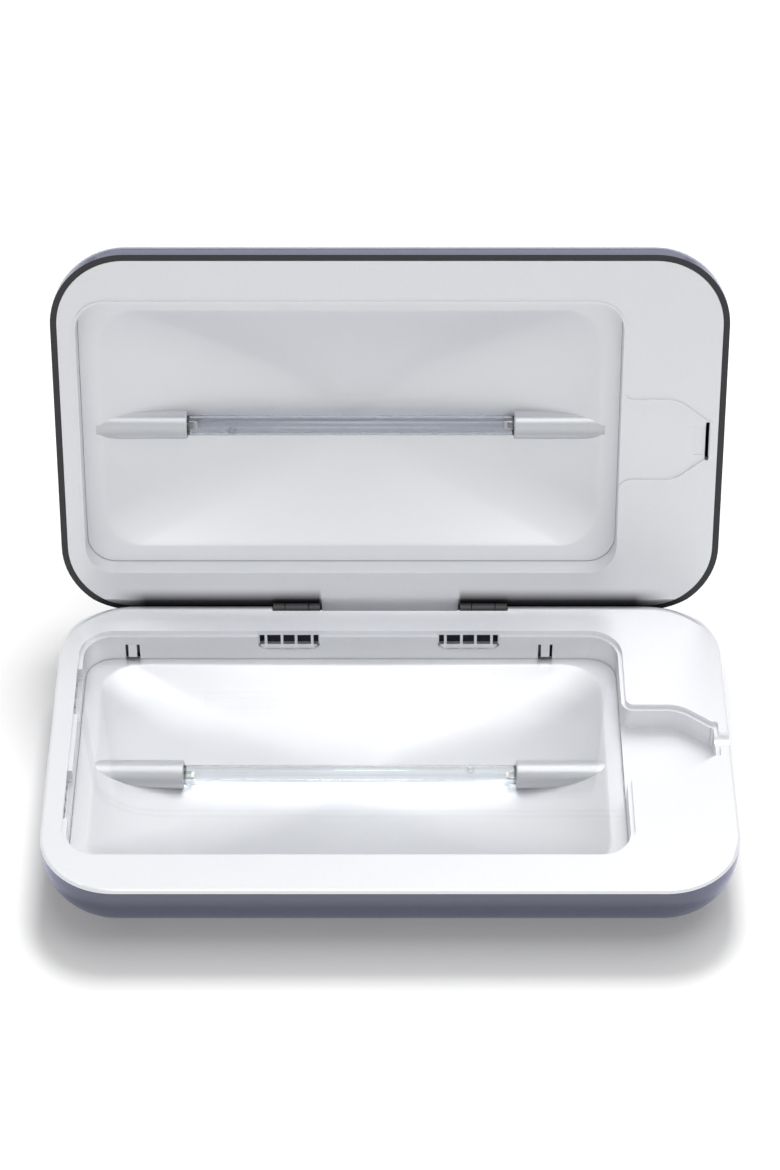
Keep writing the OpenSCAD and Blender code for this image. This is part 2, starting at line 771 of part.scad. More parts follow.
module quartz_plate() {
  color(glass) in_base() translate([0, 0, -base_space + 0.02])
    linear_extrude(plate_t) main_outline(rebate_w + 0.4);
}

module base_lamp() {
  color(glass) in_base() translate([cav_cx, cav_cy, base_lamp_z]) lamp(nub_x, 10);
}

module base_electrodes() {
  color(steel) in_base() translate([cav_cx, cav_cy, base_lamp_z]) electrodes();
}

module base_lamp_boots() {
  color(rubber) in_base() translate([cav_cx, cav_cy, base_lamp_z]) boots();
}

module base_lamp_cap(side) {
  color(silver) in_base() lamp_cap(side, base_cap_z, base_lamp_z, base_dish_hx, base_dish, base_space);
}

// Wires from the boots down through the dish and along the front to the driver
module base_lamp_leads() {
  run_z = lead_r + 1.1 + shell_wall - base_h;
  end_x = board_x0 + 2.4;
  front_y = [-base_dish_hy + 1, -base_dish_hy + 3.5];
  color(rubber) in_base() for (i = [0, 1]) {
    x = cav_cx + (i == 0 ? -lead_x : lead_x);
    boot_x = cav_cx + (i == 0 ? -boot_end : boot_end);
    wire([
      [boot_x, cav_cy, base_lamp_z], [x, cav_cy, base_lamp_z], [x, cav_cy, run_z],
      [x, front_y[i], run_z], [end_x, front_y[i], run_z], [end_x, front_y[i], board_z]
    ]);
  }
}

module circuit(side) {
  difference() {
    translate([board_x0, cav_cy + side * (board_y0 + board_w / 2) - board_w / 2, board_z])
      cube([board_len, board_w, board_t]);
    at_board_posts() translate([0, 0, board_z - 1]) cylinder(board_t + 2, r = 1.2);
  }
}

module control_board() {
  top = board_z + board_t;
  color(board) in_base() {
    circuit(1);
    translate([board_mid - chip[0] / 2, cav_cy + board_y0 + chip[1], top]) cube(chip);
    for (i = [-1:1]) translate([board_mid + can_pitch * i, cav_cy + board_y0 + board_w - 7, top])
      cylinder(small_can[1], r = small_can[0]);
  }
}

module lamp_driver() {
  color(board) in_base() {
    circuit(-1);
    for (i = [-1, 1]) translate([board_mid + 4 * i, cav_cy - board_y0 - board_w + 8, board_z + board_t])
      cylinder(big_can[1], r = big_can[0]);
  }
}

module driver_transformer() {
  color(copper) in_base()
    translate([board_mid - core_base[0] / 2, cav_cy - board_y0 - board_w / 2 - 3, board_z + board_t + 0.02]) {
      cube(core_base);
      translate((core_base - core_post) / 2 - [0, 0, (core_base[2] - core_post[2]) / 2]) cube(core_post);
      translate([0, 0, core_gap]) cube(core_base);
    }
}

module lid_switch() {
  color(glass) in_base() translate([board_mid - 7, switch_y, switch_z])
    rotate([0, 90, 0]) cylinder(14, r = switch_r);
}

module power_inlet() {
  face_y = rear_y - 4.2;
  color(rubber) in_base() translate([inlet_x, 0, port_z]) {
    difference() {
      union() {
        translate([-4.5, cav_y1 + 0.5, -inlet_r - 0.1]) cube([9, 6, 2 * inlet_r + 0.2]);
        translate([0, cav_y1 + 6, 0]) rotate([-90, 0, 0]) cylinder(face_y - cav_y1 - 6, r = inlet_r);
      }
      translate([0, cav_y1 + 2, 0]) rotate([-90, 0, 0]) cylinder(20, r = inlet_r - 1);
    }
    translate([0, cav_y1 + 1, 0]) rotate([-90, 0, 0]) cylinder(face_y - 1.2 - cav_y1 - 1, r = 1);
  }
}

module usb_socket() {
  depth = 9.6;
  tongue = [usb_w - 2.4, 0.7];
  color(steel) in_base() translate([usb_x, rear_y - 3.2 - depth, port_z]) rotate([-90, 0, 0]) {
    difference() {
      linear_extrude(depth) centred_rect(usb_w, usb_h, usb_h / 2 - sliver);
      translate([0, 0, 1.5]) linear_extrude(depth) centred_rect(usb_w - 0.7, usb_h - 0.7, usb_h / 2 - 0.4);
    }
    translate([-tongue[0] / 2, -tongue[1] / 2, 1]) cube([tongue[0], tongue[1], depth - 2.2]);
  }
}

module case_screws() {
  color(steel) in_base() at_screws() difference() {
    union() {
      translate([0, 0, screw_seat - screw_head_h]) cylinder(screw_head_h, r = screw_head_r);
      translate([0, 0, screw_seat - sliver]) cylinder(screw_len, r = screw_r);
    }
    for (a = [0, 90]) translate([0, 0, screw_seat - screw_head_h]) rotate([0, 0, a])
      cube(screw_slot, center = true);
  }
}

module board_screws() {
  top = board_z + board_t;
  color(steel) in_base() at_board_posts() difference() {
    union() {
      translate([0, 0, top]) cylinder(board_screw_head[1], r = board_screw_head[0]);
      translate([0, 0, top - board_screw_len + 0.1]) cylinder(board_screw_len, r = board_screw_r);
    }
    for (a = [0, 90]) translate([0, 0, top + board_screw_head[1]]) rotate([0, 0, a])
      cube(board_screw_slot, center = true);
  }
}

module rubber_feet() {
  color(rubber) in_base() at_feet() translate([0, 0, -foot_h]) cylinder(foot_h + 0.8, r = foot_r);
}

module hinge_pins() {
  color(steel) in_base() at_hinges() translate([0.3, 0, hinge_z]) rotate([0, 90, 0])
    cylinder(hinge_len - 0.6, r = pin_r);
}

// Cuts the lid's rear edge so that, open, it lies along the rear of the base
module rear_bevel() {
  drop = function(y) (hinge_in + stop_gap - y * cos(open_angle)) / sin(open_angle);
  near = (hinge_in + stop_gap - lid_axis_z * sin(open_angle)) / cos(open_angle);
  far = 8;
  translate([-right_x - 1, hinge_y, 0]) rotate([90, 0, 90])
    linear_extrude(box_w + 2)
      polygon([[near, 5], [near, lid_axis_z - drop(near)], [far, lid_axis_z - drop(far)], [far, 5]]);
}

// Carries a piece drawn against the shell's wall at y = 0 to each clip
module at_clips() {
  for (p = clip_places) mirror([0, p[1], 0]) translate([p[0], rear_y - shell_wall, 0]) children();
}

module lid_shell() {
  color(dark) in_lid() difference() {
    union() {
      difference() {
        shell_block(lid_h, lid_edge_r);
        shell_block(lid_h, lid_edge_r, shell_wall, 1);
        rear_bevel();
        translate([-lip_half - fit, lip_y, -lip_t - fit]) cube([2 * (lip_half + fit), 10, 10]);
      }
      at_clips() translate([-clip_w / 2 - 1, -0.8, -4.9]) cube([clip_w + 2, 1, 1]);
      at_hinges() for (from = [0, hinge_len - arm_len]) {
        barrel(from, from + arm_len, lid_axis_z);
        translate([from, -0.5, -6]) cube([arm_len, 2.5, 6 + lid_axis_z]);
      }
      for (x = [-6.2, 6.2]) translate([x, lens_y, lid_floor - 0.5]) cylinder(1.6, r = 1.5);
    }
    at_hinges() translate([-0.5, 0, lid_axis_z]) rotate([0, 90, 0])
      cylinder(hinge_len + 1, r = pin_r + pin_play);
    translate([0, lens_y, -lid_h - 1]) cylinder(shell_wall + 2, r = lens_r + 0.05);
  }
}

module lid_liner() {
  room = shell_wall + fit;
  back = liner_wall - lid_shelf_z;
  color(silver) in_lid() {
    translate([-lip_half, lip_y - 0.5, -lip_t]) cube([2 * lip_half, rear_y - lip_y + 0.5, lip_t]);
    difference() {
      union() {
        translate([0, 0, -face_t]) linear_extrude(face_t)
          centred_rect(box_w - 2 * room, box_d - 2 * room, corner_r - room);
        translate([0, 0, -back]) linear_extrude(back) main_outline(rebate_w - liner_wall);
        translate([0, 0, -sliver]) linear_extrude(bead_h + sliver) difference() {
          opening_outline(bead_in);
          opening_outline(rebate_w);
        }
        at_clips() {
          translate([-clip_w / 2, -2.6, -7]) cube([clip_w, 1.4, 6]);
          translate([-clip_w / 2, -1.3, -6.6]) cube([clip_w, 0.8, 1.4]);
        }
        translate([board_mid, switch_y, -face_t - 2.4]) cylinder(3, r = magnet_r + 1);
      }
      translate([0, 0, lid_shelf_z]) linear_extrude(5 - lid_shelf_z) main_outline(rebate_w);
      translate([cav_cx, cav_cy, -lid_space - 8]) linear_extrude(10)
        centred_rect(2 * lid_dish_hx + 0.6, 2 * lid_dish_hy + 0.6, dish_r + 0.3);
      translate([bay_x1 - 2.8, cav_cy - 7, -face_t - 1]) cube([1.2, 14, 6]);
      translate([bay_x1 - 4.6, cav_cy + 5.5, 3.4]) rotate([90, 0, 0]) cylinder(11, r = 4);
      rear_bevel();
      at_hinges() for (from = [0, hinge_len - arm_len])
        translate([from - 0.3, -0.8, -7]) cube([arm_len + 0.6, 5, 10]);
      translate([board_mid, switch_y, -face_t - 3]) cylinder(3, r = magnet_r + 0.05);
    }
  }
}

module lid_reflector() {
  color(bright) in_lid() translate([cav_cx, cav_cy, -lid_space])
    dish(lid_dish_hx, lid_dish_hy, lid_dish, -lid_space - lid_lamp_z);
}

module lid_lamp() {
  color(glass) in_lid() translate([cav_cx, cav_cy, lid_lamp_z]) lamp(-nub_x, 0);
}

module lid_electrodes() {
  color(steel) in_lid() translate([cav_cx, cav_cy, lid_lamp_z]) electrodes();
}

module lid_lamp_boots() {
  color(rubber) in_lid() translate([cav_cx, cav_cy, lid_lamp_z]) boots();
}

module lid_lamp_cap(side) {
  color(silver) in_lid() lamp_cap(side, lid_cap_z, lid_lamp_z, lid_dish_hx, lid_dish, lid_space);
}

// Wires from the boots behind the dish to the liner beside each hinge
module lid_lamp_leads() {
  run_z = lead_r + 0.4 + lid_floor;
  cross_z = lid_shelf_z - liner_wall - lead_r - 0.6;
  strip_y = (cav_y1 + rear_y - shell_wall) / 2;
  color(rubber) in_lid() for (side = [-1, 1]) {
    x = cav_cx + side * lead_x;
    end_x = side * (hinge_x0 - 4);
    wire([
      [cav_cx + side * boot_end, cav_cy, lid_lamp_z], [x, cav_cy, lid_lamp_z], [x, cav_cy, run_z],
      [x, lid_dish_hy, run_z], [end_x, lid_dish_hy, run_z], [end_x, lid_dish_hy, cross_z],
      [end_x, strip_y, cross_z], [end_x, strip_y, -face_t - 0.1]
    ]);
  }
}

module lid_magnet() {
  color(steel) in_lid() translate([board_mid, switch_y, -face_t - 2.1]) cylinder(2, r = magnet_r);
}

module indicator_board() {
  color(board) in_lid() {
    translate([-7.5, lens_y - 4, lid_floor + 1.15]) cube([15, 8, 1]);
    translate([0, lens_y, lid_floor + lens_t + 0.15]) cylinder(0.5, r = 1.2);
  }
}

module indicator_lens() {
  color(glass) in_lid() translate([0, lens_y, 0]) {
    translate([0, 0, -lid_h]) cylinder(shell_wall, r = lens_r);
    translate([0, 0, lid_floor]) cylinder(lens_t, r = lens_r + 1);
  }
}

base_shell();
base_tray();
base_reflector();
quartz_plate();
base_lamp();
base_electrodes();
base_lamp_cap(1);  // base_lamp_cap_left
base_lamp_cap(0);  // base_lamp_cap_right
base_lamp_boots();
base_lamp_leads();
control_board();
lid_switch();
lamp_driver();
driver_transformer();
power_inlet();
usb_socket();
case_screws();
board_screws();
rubber_feet();
hinge_pins();
lid_shell();
lid_liner();
lid_reflector();
lid_lamp();
lid_electrodes();
lid_lamp_cap(1);  // lid_lamp_cap_left
lid_lamp_cap(0);  // lid_lamp_cap_right
lid_lamp_boots();
lid_lamp_leads();
lid_magnet();
indicator_board();
indicator_lens();
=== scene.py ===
import math

import bmesh
import bpy
from mathutils import Matrix, Vector


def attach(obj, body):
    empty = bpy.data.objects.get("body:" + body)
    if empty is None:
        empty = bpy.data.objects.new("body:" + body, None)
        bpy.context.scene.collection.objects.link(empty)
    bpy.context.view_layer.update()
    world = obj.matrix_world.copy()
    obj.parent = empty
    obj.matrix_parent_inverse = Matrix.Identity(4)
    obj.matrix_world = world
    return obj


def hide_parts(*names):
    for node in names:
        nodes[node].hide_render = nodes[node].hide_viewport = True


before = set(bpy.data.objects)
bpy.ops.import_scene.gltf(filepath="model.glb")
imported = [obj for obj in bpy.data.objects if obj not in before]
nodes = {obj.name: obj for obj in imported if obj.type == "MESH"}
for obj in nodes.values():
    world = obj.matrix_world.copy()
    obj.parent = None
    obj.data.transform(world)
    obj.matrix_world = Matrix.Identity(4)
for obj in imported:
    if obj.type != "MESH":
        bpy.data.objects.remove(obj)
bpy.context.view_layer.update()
print("frame loaded,", len(nodes), "nodes")

# placing
# The part is drawn in millimetres from the middle of the box, z = 0 at the rim of each half
placing = {
    "baseShift": -26.3408,  # mm, moves the middle of the base in Y
    "rimHeight": 27.8,
    "hingeY": 37.4592,
    "hingeZ": 26.4,
    "hingeFromMiddle": 63.8,
    "hingeAboveFace": 1.8,
    "openAngle": 105.6,
    "bowlX": -13.3,  # middle of both dishes in the half's own drawing
    "bowlY": 0.6,
}
toMetres = Matrix.Scale(0.001, 4)
baseHalf = toMetres @ Matrix.Translation((0, placing["baseShift"], placing["rimHeight"]))
lidHalf = (
    toMetres
    @ Matrix.Translation((0, placing["hingeY"], placing["hingeZ"]))
    @ Matrix.Rotation(math.radians(-placing["openAngle"]), 4, "X")
    @ Matrix.Translation((0, -placing["hingeFromMiddle"], placing["hingeAboveFace"]))
    @ Matrix.Diagonal((1, 1, -1, 1))
)
hingePoint = (0, placing["hingeY"] / 1000, placing["hingeZ"] / 1000)
baseBowl = baseHalf @ Matrix.Translation((placing["bowlX"], placing["bowlY"], 0))
lidBowl = lidHalf @ Matrix.Translation((placing["bowlX"], placing["bowlY"], 0))


# small tools
tools = {
    "mergeWithin": 1e-7,  # m
    "sharpFrom": 40,  # degrees between two faces
    "perMetre": 1000.0,  # mm
}


# sRGB hex to the linear colour that the shaders want
def linearColour(code):
    parts = [int(code[i:i + 2], 16) / 255 for i in (0, 2, 4)]
    return tuple(c / 12.92 if c <= 0.04045 else ((c + 0.055) / 1.055) ** 2.4 for c in parts) + (1.0,)


# Adds one node to a tree: inputs takes plain values or (node, output) pairs
def addNode(tree, kind, inputs=None, **settings):
    node = tree.nodes.new(kind)
    for name, value in settings.items():
        setattr(node, name, value)
    for name, value in (inputs or {}).items():
        if isinstance(value, tuple) and isinstance(value[0], bpy.types.Node):
            tree.links.new(value[0].outputs[value[1]], node.inputs[name])
        else:
            node.inputs[name].default_value = value
    return node


# One colour, a little darker or lighter with a pattern from low to high
def leaningColour(tree, colour, pattern, low, high):
    lean = addNode(tree, "ShaderNodeMapRange", {"Value": pattern, "To Min": low, "To Max": high})
    return addNode(tree, "ShaderNodeHueSaturation",
                   {"Color": linearColour(colour), "Value": (lean, "Result")})


# An empty material and its tree
def newMaterial(name):
    material = bpy.data.materials.new(name)
    material.use_nodes = True
    material.node_tree.nodes.clear()
    return material, material.node_tree


# A mesh from points in a half's own millimetres
def addMesh(name, points, faces, place, smooth=True):
    mesh = bpy.data.meshes.new(name)
    mesh.from_pydata([place @ Vector(p) for p in points], [], faces)
    shape = bmesh.new()
    shape.from_mesh(mesh)
    bmesh.ops.remove_doubles(shape, verts=shape.verts, dist=tools["mergeWithin"])
    bmesh.ops.recalc_face_normals(shape, faces=shape.faces)
    shape.to_mesh(mesh)
    shape.free()
    piece = bpy.data.objects.new(name, mesh)
    bpy.context.scene.collection.objects.link(piece)
    if smooth:
        mesh.shade_smooth()
    return piece


# Turns the evaluated object into a plain mesh object and drops its modifiers
def bakePiece(source, name):
    graph = bpy.context.evaluated_depsgraph_get()
    mesh = bpy.data.meshes.new_from_object(source.evaluated_get(graph))
    mesh.name = name
    piece = bpy.data.objects.new(name, mesh)
    bpy.context.scene.collection.objects.link(piece)
    bpy.data.objects.remove(source)
    return piece


# Gives a new piece its finish and the body it moves with, and hides the nodes it stands for
def seatPiece(piece, material, body, slotName, *stoodFor):
    if material is not None:
        piece.data.materials.clear()
        piece.data.materials.append(material)
    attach(piece, body)
    if stoodFor:
        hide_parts(*stoodFor)
    return piece


# Runs one Geometry Nodes tree over a few points and keeps the result as a plain mesh
def growPiece(name, tree, points, sizes, place):
    mesh = bpy.data.meshes.new(name + "Points")
    mesh.from_pydata([Vector(p) for p in points], [], [])
    host = bpy.data.objects.new(name + "Host", mesh)
    bpy.context.scene.collection.objects.link(host)
    modifier = host.modifiers.new("grow", "NODES")
    modifier.node_group = tree
    sockets = {s.name: s.identifier for s in tree.interface.items_tree if s.in_out == "INPUT"}
    for label, value in sizes.items():
        modifier[sockets[label]] = value
    piece = bakePiece(host, name)
    piece.data.transform(place)
    shape = bmesh.new()
    shape.from_mesh(piece.data)
    bmesh.ops.recalc_face_normals(shape, faces=shape.faces)
    shape.to_mesh(piece.data)
    shape.free()
    piece.data.shade_smooth()
    piece.data.set_sharp_from_angle(angle=math.radians(tools["sharpFrom"]))
    return piece


# A geometry tree with named number inputs
def newTree(name, sizes):
    tree = bpy.data.node_groups.new(name, "GeometryNodeTree")
    tree.interface.new_socket(name="Geometry", in_out="INPUT", socket_type="NodeSocketGeometry")
    for label, value in sizes.items():
        kind = "NodeSocketMaterial" if value is None else "NodeSocketFloat"
        socket = tree.interface.new_socket(name=label, in_out="INPUT", socket_type=kind)
        if value is not None:
            socket.default_value = value
    tree.interface.new_socket(name="Geometry", in_out="OUTPUT", socket_type="NodeSocketGeometry")
    return tree


# camera, floor and light
studio = {
    "cameraPlace": (0.0, -0.7578, 0.7872),
    "cameraPitch": 43.30,  # degrees below the horizon
    "lens": 98.46,
    "sensor": 36,
    "nearest": 0.01,
    "floorHalf": 3000,  # mm
    "fibreScale": 900.0,  # paper fibres of about 1 mm
    "floorColour": "f4f4f4",
    "floorGlow": 0.12,
    "worldLight": 0.17,
    "lampsAim": (0, 0.02, 0.03),
    "lamps": {  # power in W, side in m, place, and whether it shows in gloss
        "overhead": (9.4, 0.34, (0.07, 0.48, 1.06), False),
        "highlight": (5.8, 1.0, (0.20, 0.08, 1.12), True),
        "front": (5.0, 0.9, (0.0, -1.2, 0.3), False),
    },
}


def makeCamera():
    lens = bpy.data.cameras.new("camera")
    lens.lens = studio["lens"]
    lens.sensor_width = studio["sensor"]
    lens.sensor_fit = "AUTO"
    lens.clip_start = studio["nearest"]
    camera = bpy.data.objects.new("camera", lens)
    camera.location = studio["cameraPlace"]
    camera.rotation_euler = (math.radians(90 - studio["cameraPitch"]), 0, 0)
    bpy.context.scene.collection.objects.link(camera)
    bpy.context.scene.camera = camera


# 1 for the rays that show the floor or the sky: straight, in a mirror or through glass
def shownRays(tree):
    path = addNode(tree, "ShaderNodeLightPath")
    seen = addNode(tree, "ShaderNodeMath", {0: (path, "Is Camera Ray"), 1: (path, "Is Glossy Ray")},
                   operation="MAXIMUM")
    return addNode(tree, "ShaderNodeMath", {0: (seen, 0), 1: (path, "Is Transmission Ray")},
                   operation="MAXIMUM")


# White paper sweep: it shows white, and keeps the soft shadow of the box
def makeFloor():
    material, tree = newMaterial("whitePaperSweep")
    coords = addNode(tree, "ShaderNodeTexCoord")
    fibre = addNode(tree, "ShaderNodeTexNoise",
                    {"Vector": (coords, "Object"), "Scale": studio["fibreScale"], "Detail": 3.0})
    paper = leaningColour(tree, studio["floorColour"], (fibre, "Fac"), 0.985, 1.0)
    matt = addNode(tree, "ShaderNodeBsdfDiffuse", {"Color": (paper, "Color")})
    level = addNode(tree, "ShaderNodeMath", {0: (shownRays(tree), 0), 1: studio["floorGlow"]},
                    operation="MULTIPLY")
    glow = addNode(tree, "ShaderNodeEmission", {"Strength": (level, 0)})
    both = addNode(tree, "ShaderNodeAddShader", {0: (matt, 0), 1: (glow, 0)})
    addNode(tree, "ShaderNodeOutputMaterial", {"Surface": (both, 0)})
    half = studio["floorHalf"]
    corners = [(-half, -half, 0), (half, -half, 0), (half, half, 0), (-half, half, 0)]
    floor = addMesh("floor", corners, [(0, 1, 2, 3)], toMetres, smooth=False)
    floor.data.materials.append(material)


def makeLight():
    world = bpy.data.worlds.new("studio")
    bpy.context.scene.world = world
    world.use_nodes = True
    tree = world.node_tree
    tree.nodes.clear()
    level = addNode(tree, "ShaderNodeMapRange",
                    {"Value": (shownRays(tree), 0), "To Min": studio["worldLight"], "To Max": 1.0})
    sky = addNode(tree, "ShaderNodeBackground", {"Color": (1, 1, 1, 1), "Strength": (level, "Result")})
    addNode(tree, "ShaderNodeOutputWorld", {"Surface": (sky, 0)})
    for name, (power, side, place, shows) in studio["lamps"].items():
        lamp = bpy.data.lights.new(name, "AREA")
        lamp.shape = "SQUARE"
        lamp.size = side
        lamp.energy = power
        light = bpy.data.objects.new(name, lamp)
        light.location = place
        light.visible_glossy = shows
        aim = Vector(studio["lampsAim"]) - light.location
        light.rotation_euler = aim.to_track_quat("-Z", "Y").to_euler()
        bpy.context.scene.collection.objects.link(light)
    bpy.context.scene.view_settings.view_transform = "Standard"


makeCamera()
makeFloor()
makeLight()
print("camera, floor and light made")

# finishes
finishes = {
    "shellColour": "5a5c6c",
    "slantColour": "d9dcff",
    # black plastic where the shell's paint stops; on the lid's silver also the tone of the painted hinge
    # shade
    "darkBareAndShadeTone": "29282c",
    "silverColour": "e3e4e7",
    "capColour": "c9cbce",
    "dishColour": "e3e4e7",
    "rubberColour": "1b1b1d",
    "boardColour": "1e5a37",
    "copperColour": "c06a3c",
    "steelColour": "c4c6c9",
    "nickelColour": "b9b7b0",
    "darkBareAndShadeRoughness": 0.42,
    "plasticIor": 1.5,
    "rimBareTo": -0.12,  # mm below the face of the rim
    "knuckleBareTo": 0.0036,  # m round the hinge axis
    # painted shade on the lid's face near the hinge, where the base's rear rim shades it
    "hingeShadeFullTo": 1.8,  # mm above the hinge axis on the lid, below which the painted hinge shade is full
    "hingeShadeEndsAt": 7.6,
    "hingeShadeOffLipTo": (0.0234, 0.0244),  # m from the middle: the lip inside this gets no painted shade
    "hingeShadeOffCornerFrom": (0.084, 0.096),
    "quartzIor": 1.46,
    "drawLines": (1.5, 500.0, 500.0),  # per m: lines about 2 mm wide and long along the tube
    "perMetreOfGrain": 1000.0 / 0.3,  # grain of 0.3 mm
    "cloudScale": 120.0,
}


# Distance in mm from a point in the box's space, in front of a plane
def planeHeight(tree, coords, point, normal):
    apart = addNode(tree, "ShaderNodeVectorMath", {0: (coords, "Object"), 1: tuple(point)},
                    operation="SUBTRACT")
    along = addNode(tree, "ShaderNodeVectorMath", {0: (apart, "Vector"), 1: tuple(normal)},
                    operation="DOT_PRODUCT")
    return addNode(tree, "ShaderNodeMath", {0: (along, "Value"), 1: tools["perMetre"]},
                   operation="MULTIPLY")


# Moulded ABS under slate metallic paint and clear lacquer: deep grey, pale and bluish at a slant.
# The paint stops at the rim's edge and at the hinge, where the black plastic shows
def gunmetalLacquer(name, rimPoint, rimNormal):
    material, tree = newMaterial(name)
    coords = addNode(tree, "ShaderNodeTexCoord")
    # pigment flakes are about 0.04 mm, drawn at 0.3 mm so that they show
    flake = addNode(tree, "ShaderNodeTexVoronoi", {"Vector": (coords, "Object"), "Scale": 3300.0})
    colour = leaningColour(tree, finishes["shellColour"], (flake, "Color"), 0.93, 1.07)
    # orange peel of sprayed lacquer, about 1.5 mm from hill to hill
    peel = addNode(tree, "ShaderNodeTexNoise",
                   {"Vector": (coords, "Object"), "Scale": 650.0, "Detail": 1.0})
    skin = addNode(tree, "ShaderNodeBump",
                   {"Height": (peel, "Fac"), "Strength": 0.03, "Distance": 0.0004})
    paint = addNode(tree, "ShaderNodeBsdfPrincipled", {
        "Base Color": (colour, "Color"), "Metallic": 0.7, "Roughness": 0.3,
        "IOR": finishes["plasticIor"], "Specular Tint": linearColour(finishes["slantColour"]),
        "Coat Weight": 0.6, "Coat Roughness": 0.03, "Coat IOR": finishes["plasticIor"],
        "Coat Normal": (skin, "Normal")})
    grain = addNode(tree, "ShaderNodeTexNoise",
                    {"Vector": (coords, "Object"), "Scale": 3000.0, "Detail": 2.0})
    dimple = addNode(tree, "ShaderNodeBump",
                     {"Height": (grain, "Fac"), "Strength": 0.05, "Distance": 0.0002})
    bareAndShadeSurface = addNode(tree, "ShaderNodeBsdfPrincipled", {
        "Base Color": linearColour(finishes["darkBareAndShadeTone"]), "IOR": finishes["plasticIor"],
        "Roughness": finishes["darkBareAndShadeRoughness"], "Normal": (dimple, "Normal")})
    edge = planeHeight(tree, coords, rimPoint, rimNormal)
    onEdge = addNode(tree, "ShaderNodeMath", {0: (edge, 0), 1: finishes["rimBareTo"]},
                     operation="GREATER_THAN")
    flat = addNode(tree, "ShaderNodeVectorMath", {0: (coords, "Object"), 1: (0.0, 1.0, 1.0)},
                   operation="MULTIPLY")
    reach = addNode(tree, "ShaderNodeVectorMath", {0: (flat, "Vector"), 1: hingePoint},
                    operation="DISTANCE")
    onHinge = addNode(tree, "ShaderNodeMath", {0: (reach, "Value"), 1: finishes["knuckleBareTo"]},
                      operation="LESS_THAN")
    unpainted = addNode(tree, "ShaderNodeMath", {0: (onEdge, 0), 1: (onHinge, 0)}, operation="MAXIMUM")
    both = addNode(tree, "ShaderNodeMixShader", {0: (unpainted, 0), 1: (paint, 0), 2: (bareAndShadeSurface, 0)})
    addNode(tree, "ShaderNodeOutputMaterial", {"Surface": (both, 0)})
    return material


# Silver pigment paint on moulded ABS: pale, satin, with a fine sparkle.
# On the lid, painted shade darkens the face softly towards the hinge, between the lip and the corners
def satinSilverPaint(name, colour, metallic, paintedHingeShade=False):
    material, tree = newMaterial(name)
    coords = addNode(tree, "ShaderNodeTexCoord")
    # pigment flakes are about 0.03 mm, drawn at 0.25 mm so that they show
    flake = addNode(tree, "ShaderNodeTexVoronoi", {"Vector": (coords, "Object"), "Scale": 4000.0})
    tinted = leaningColour(tree, colour, (flake, "Color"), 0.975, 1.02)
    cloud = addNode(tree, "ShaderNodeTexNoise",
                    {"Vector": (coords, "Object"), "Scale": 60.0, "Detail": 2.0})
    rough = addNode(tree, "ShaderNodeMapRange",
                    {"Value": (cloud, "Fac"), "To Min": 0.31, "To Max": 0.36})
    grain = addNode(tree, "ShaderNodeBump",
                    {"Height": (flake, "Distance"), "Strength": 0.03, "Distance": 0.0001})
    surface = addNode(tree, "ShaderNodeBsdfPrincipled", {
        "Base Color": (tinted, "Color"), "Metallic": metallic, "Roughness": (rough, "Result"),
        "IOR": finishes["plasticIor"], "Normal": (grain, "Normal")})
    # painted shade: the face goes dark towards the hinge, in the tone of the black plastic
    if paintedHingeShade:
        bareAndShadeSurface = addNode(tree, "ShaderNodeBsdfPrincipled", {
            "Base Color": linearColour(finishes["darkBareAndShadeTone"]), "Roughness": finishes["darkBareAndShadeRoughness"],
            "IOR": finishes["plasticIor"]})
        up = (lidHalf.to_3x3() @ Vector((0, -1, 0))).normalized()
        height = planeHeight(tree, coords, hingePoint, up)
        near = addNode(tree, "ShaderNodeMapRange", {
            "Value": (height, 0), "From Min": finishes["hingeShadeFullTo"],
            "From Max": finishes["hingeShadeEndsAt"],
            "To Min": 1.0, "To Max": 0.0}, interpolation_type="SMOOTHSTEP")
        apart = addNode(tree, "ShaderNodeSeparateXYZ", {"Vector": (coords, "Object")})
        side = addNode(tree, "ShaderNodeMath", {0: (apart, "X")}, operation="ABSOLUTE")
        lipFrom, lipTo = finishes["hingeShadeOffLipTo"]
        offLip = addNode(tree, "ShaderNodeMapRange",
                         {"Value": (side, 0), "From Min": lipFrom, "From Max": lipTo})
        cornerFrom, cornerTo = finishes["hingeShadeOffCornerFrom"]
        offCorner = addNode(tree, "ShaderNodeMapRange", {
            "Value": (side, 0), "From Min": cornerFrom, "From Max": cornerTo, "To Min": 1.0,
            "To Max": 0.0})
        between = addNode(tree, "ShaderNodeMath", {0: (offLip, "Result"), 1: (offCorner, "Result")},
                          operation="MULTIPLY")
        share = addNode(tree, "ShaderNodeMath", {0: (near, "Result"), 1: (between, 0)},
                        operation="MULTIPLY")
        surface = addNode(tree, "ShaderNodeMixShader", {0: (share, 0), 1: (surface, 0), 2: (bareAndShadeSurface, 0)})
    addNode(tree, "ShaderNodeOutputMaterial", {"Surface": (surface, 0)})
    return material


# Aluminium deposited in vacuum on a moulded bowl: a soft mirror, as the mould was sand blasted
def depositedAluminium():
    material, tree = newMaterial("depositedAluminiumSatin")
    coords = addNode(tree, "ShaderNodeTexCoord")
    # blasting pits of the mould, about 0.2 mm
    pits = addNode(tree, "ShaderNodeTexNoise",
                   {"Vector": (coords, "Object"), "Scale": 5000.0, "Detail": 2.0})
    cloud = addNode(tree, "ShaderNodeTexNoise",
                    {"Vector": (coords, "Object"), "Scale": 45.0, "Detail": 2.0})
    rough = addNode(tree, "ShaderNodeMapRange",
                    {"Value": (cloud, "Fac"), "To Min": 0.5, "To Max": 0.55})
    grain = addNode(tree, "ShaderNodeBump",
                    {"Height": (pits, "Fac"), "Strength": 0.04, "Distance": 0.0001})
    metal = addNode(tree, "ShaderNodeBsdfPrincipled", {
        "Base Color": linearColour(finishes["dishColour"]), "Metallic": 0.9,
        "Roughness": (rough, "Result"), "Normal": (grain, "Normal")})
    addNode(tree, "ShaderNodeOutputMaterial", {"Surface": (metal, 0)})
    return material


